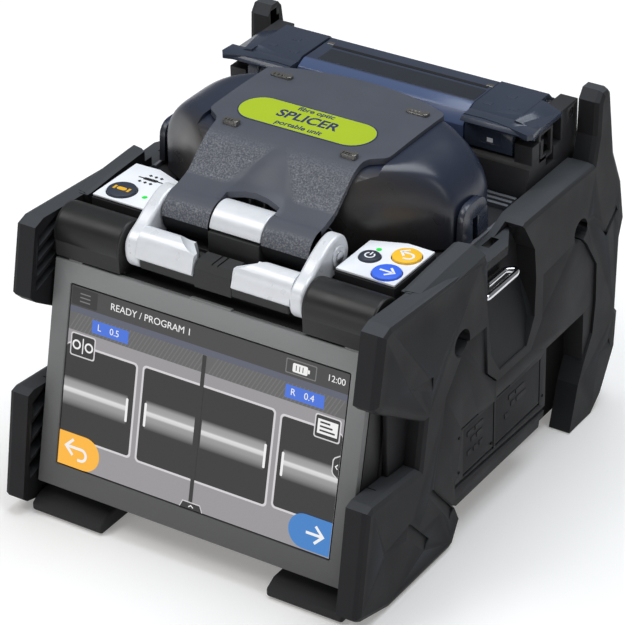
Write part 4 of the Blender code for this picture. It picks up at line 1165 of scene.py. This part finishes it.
def make_key_signs():
    top = node_box("back_key")[1].z + 0.01
    white = "key_plate_plastic"
    hook = [(-0.2, -2.3), (0.9, -2.3)] + arc((0.9, -0.6), 1.7, -85, 90, 10) + [(-2.2, 1.1)]
    for name, key, line, width in (
            ("back_hook", "back_key", hook, 0.8),
            ("back_head", "back_key", [(-0.6, 3.2), (-2.7, 1.1), (-0.6, -1.0)], 0.8),
            ("next_line", "next_key", [(-2.6, 0.0), (2.3, 0.0)], 0.8),
            ("next_head", "next_key", [(0.3, 2.4), (2.7, 0.0), (0.3, -2.4)], 0.8),
            ("power_ring", "power_key", arc((0.0, 0.0), 1.55, 125, 415, 24), 0.5),
            ("power_line", "power_key", [(0.0, 0.2), (0.0, 2.1)], 0.5)):
        flat_mark(name, ribbon(moved(line, *KEYS[key]), width), top, white, key)
    x, y = KEYS["heater_key"]
    flat_mark("heater_tube", moved(pill(3.7, 1.9), x, y), top, "ink_gold", "heater_key")
    for word, side in SIDES:
        collar = ribbon([(x + side * 2.75, y - 1.1), (x + side * 2.75, y + 1.1)], 0.9)
        flat_mark("heater_collar_" + word, collar, top, "ink_gold", "heater_key")


def make_keys():
    for name in KEYS:
        refined(name, 0.35)
    for word, side in SIDES:
        refined("keypad_housing_" + word, 0.9)
        refined("key_plate_" + word, 0.3)
    make_key_signs()
    plate = node_box("key_plate_right")[1].z
    for name, x, y in (("led_right", 42.4, -28.9), ("led_left", -41.8, -39.2)):
        flat_mark(name, moved(pill(1.9, 1.9), x, y), plate + 0.02, "led_green")
    x, y = SLEEVE
    flat_mark("sleeve_bar", moved(pill(5.8, 1.5), x, y), plate + 0.02, "ink_black")
    flat_mark("sleeve_line", ribbon([(x - 4.8, y), (x + 4.8, y)], 0.55), plate + 0.01, "ink_black")
    for word, side in SIDES:
        for column in range(3):
            u, v = x + side * 0.6 + (column - 1) * 2.2, y + side * 2.4
            flame = ribbon([(u - 0.45, v + 0.35), (u + 0.45, v - 0.35)], 0.95)
            flat_mark("sleeve_flame_%s_%d" % (word, column), flame, plate + 0.02, "ink_black")


# ---------------------------------------------------------------- tube heater
BRIM = ((34.3, 42.4), (34.3, 38.0), (41.0, 38.3), (47.0, 37.8), (52.0, 36.8), (56.5, 35.6), (60.3, 34.6),
        (61.7, 36.4), (61.3, 42.4))
WING = ((52.2, 123.35), (54.4, 123.1), (60.4, 120.9), (60.4, 119.3), (53.6, 121.4), (52.2, 121.4))
CLAMP_FRONT = 38.7


def make_heater_clamp(word, side):
    """The cap over a sleeve's end: a top plate, an outer slope and a brim to lift it by."""
    name, smoke = "heater_clamp_" + word, "smoke_plastic"
    body, top = BODY_OF[name], node_box(name)[1].z
    made = cad_copy(name)
    cut(made, side_box("front_cut", side, (33.0, 34.0, 110.0), (62.0, 38.4, 121.0)))
    join(made, slab("brim", sided(side, BRIM), "XY", 120.5, 122.5))
    join(made, slab("wing", sided(side, WING), "XZ", 40.6, 58.2))
    settle(soften(made, 0.6), body, [name])
    for number, (x, y) in enumerate(((38.5, 47.0), (48.0, 47.6), (43.0, 55.5))):
        dimple = sided(side, round_rect((x - 1.7, y - 1.1), (x + 1.7, y + 1.1), 0.4))
        mark = slab("clamp_dimple_%s_%d" % (word, number), dimple, "XY", top - 0.3, top + 0.12, smoke)
        settle(soften(mark, 0.1, 2), body)
    rim = [sided(side, round_rect(low, high, radius)) for low, high, radius in (
        ((39.8, 112.9), (48.6, 119.4), 0.5), ((40.4, 113.5), (48.0, 118.8), 0.3))]
    settle(slab("clamp_frame_" + word, rim, "XZ", CLAMP_FRONT - 0.22, CLAMP_FRONT + 0.1, smoke), body)
    lamp = side_box("clamp_window_" + word, side, (43.0, CLAMP_FRONT - 0.15, 114.0),
                    (45.2, CLAMP_FRONT + 0.1, 115.5), "key_plate_plastic")
    settle(lamp, body)


def make_heater():
    refined("heater_base", 0.8)
    refined("heater_lid", 0.6, look="lid")
    top = node_box("heater_lid")[1].z
    glass = round_rect((-29.0, 46.9), (33.0, 55.6), 0.5)
    window = slab("heater_window", glass, "XY", top - 0.06, top + 0.12, "window_gloss")
    settle(soften(window, 0.08, 2), "heater_lid")
    # Painted shade: a near-black strip on the lid top stands in for the shade inside the groove.
    groove = box("heater_groove", (-29.6, 57.0, top - 0.05), (32.4, 58.5, top + 0.1), "groove_painted_shade")
    settle(groove, "heater_lid")
    for number, low in enumerate((-32.6, 31.0)):
        clip = box("heater_clip_" + str(number), (low, 58.7, top - 0.05), (low + 2.6, 60.3, top + 0.15),
                   "lug_metal")
        settle(soften(clip, 0.1, 2), "heater_lid")
    for word, side in SIDES:
        make_heater_clamp(word, side)
        frame_and_hole = [rect(43.2, 108.0, 52.8, 119.0), rect(44.6, 109.4, 51.4, 117.8)]
        port = slab("heater_port_" + word, frame_and_hole, "YZ", *span(side, 58.6, 60.2), "deck_plastic")
        settle(soften(port, 0.3, 2), "root")


# ---------------------------------------------------------------- everything else
PLAIN_PARTS = (     # nodes that only get rounded edges, by how much
    ("base_shell", 1.0), ("top_deck", 0.5), ("rear_panel", 0.25), ("dc_inlet", 0.3), ("splice_chassis", 0.5),
    ("v_groove_block", 0.25), ("heater_element", 0.3), ("electrode_front", 0.25), ("electrode_rear", 0.25),
    ("front_foot_left", 0.8), ("front_foot_right", 0.8), ("rear_foot_left", 0.5), ("rear_foot_right", 0.5),
    ("fibre_guide_left", 0.7), ("fibre_guide_right", 0.7), ("fibre_presser", 0.4), ("fibre_stage_left", 0.4),
    ("fibre_stage_right", 0.4), ("coating_clamp_left", 0.4), ("coating_clamp_right", 0.4),
    ("battery_pack", 0.3), ("battery_latch", 0.4), ("inlet_cover", 0.25), ("output_cover", 0.25),
)
STRAP_RING = ((65.2, -6.2), (69.3, -6.2), (69.3, 12.8), (68.3, 15.0), (65.2, 12.6))
RING_CORNER = 0.9
RING_RADIUS = 1.1


def make_deck_details():
    """Ribs and a bright edge on the deck beside the dome."""
    for word, side in SIDES:
        for number, y in enumerate((32.3, 29.5, 26.7)):
            rib = side_box("deck_rib_%s_%d" % (word, number), side, (44.4 + number, y, 97.1),
                           (57.6, y + 1.4, 99.0), "rib_plastic")
            settle(soften(rib, 0.2, 2), "root")
        edge = side_box("deck_edge_" + word, side, (59.1, -9.0, 97.1), (60.3, 17.0, 98.6), "rib_plastic")
        settle(soften(edge, 0.2, 2), "root")


def make_rings():
    """The strap rings, as round wire with rounded corners."""
    path = []
    for index, corner in enumerate(STRAP_RING):
        middle = Vector(corner)
        before, after = Vector(STRAP_RING[index - 1]), Vector(STRAP_RING[(index + 1) % len(STRAP_RING)])
        start = middle + (before - middle).normalized() * RING_CORNER
        end = middle + (after - middle).normalized() * RING_CORNER
        for t in (0.0, 0.25, 0.5, 0.75, 1.0):
            path.append(tuple(start * (1 - t) ** 2 + middle * 2 * t * (1 - t) + end * t * t))
    for word, side in SIDES:
        name = "strap_ring_" + word
        low, high = node_box(name)
        curve = bpy.data.curves.new("ring", "CURVE")
        curve.dimensions = "3D"
        curve.bevel_depth = RING_RADIUS * MM
        curve.bevel_resolution = 6
        poly_line(curve, [(side * x, y, (low.z + high.z) / 2) for x, y in path])
        made = link(name + "_skin", solid_of(curve, "ring"), "ring_wire")
        made.data.shade_smooth()
        settle(made, name, [name])


def dress_carried_nodes():
    """Gives the CAD nodes that stay their detailed materials."""
    for name, made in frame["nodes"].items():
        if not made.hide_render:
            made.data.materials.clear()
            made.data.materials.append(LOOKS[SLOT_OF[name]])


make_camera()
make_studio()
for word, side in SIDES:
    make_bumper(word, side)
    make_side_panel(word, side)
make_cover_marks()
make_monitor()
make_arms()
make_hood_panel()
make_lugs()
make_label()
make_dome()
make_knuckle()
make_keys()
make_heater()
for name, width in PLAIN_PARTS:
    refined(name, width)
make_deck_details()
make_rings()
dress_carried_nodes()
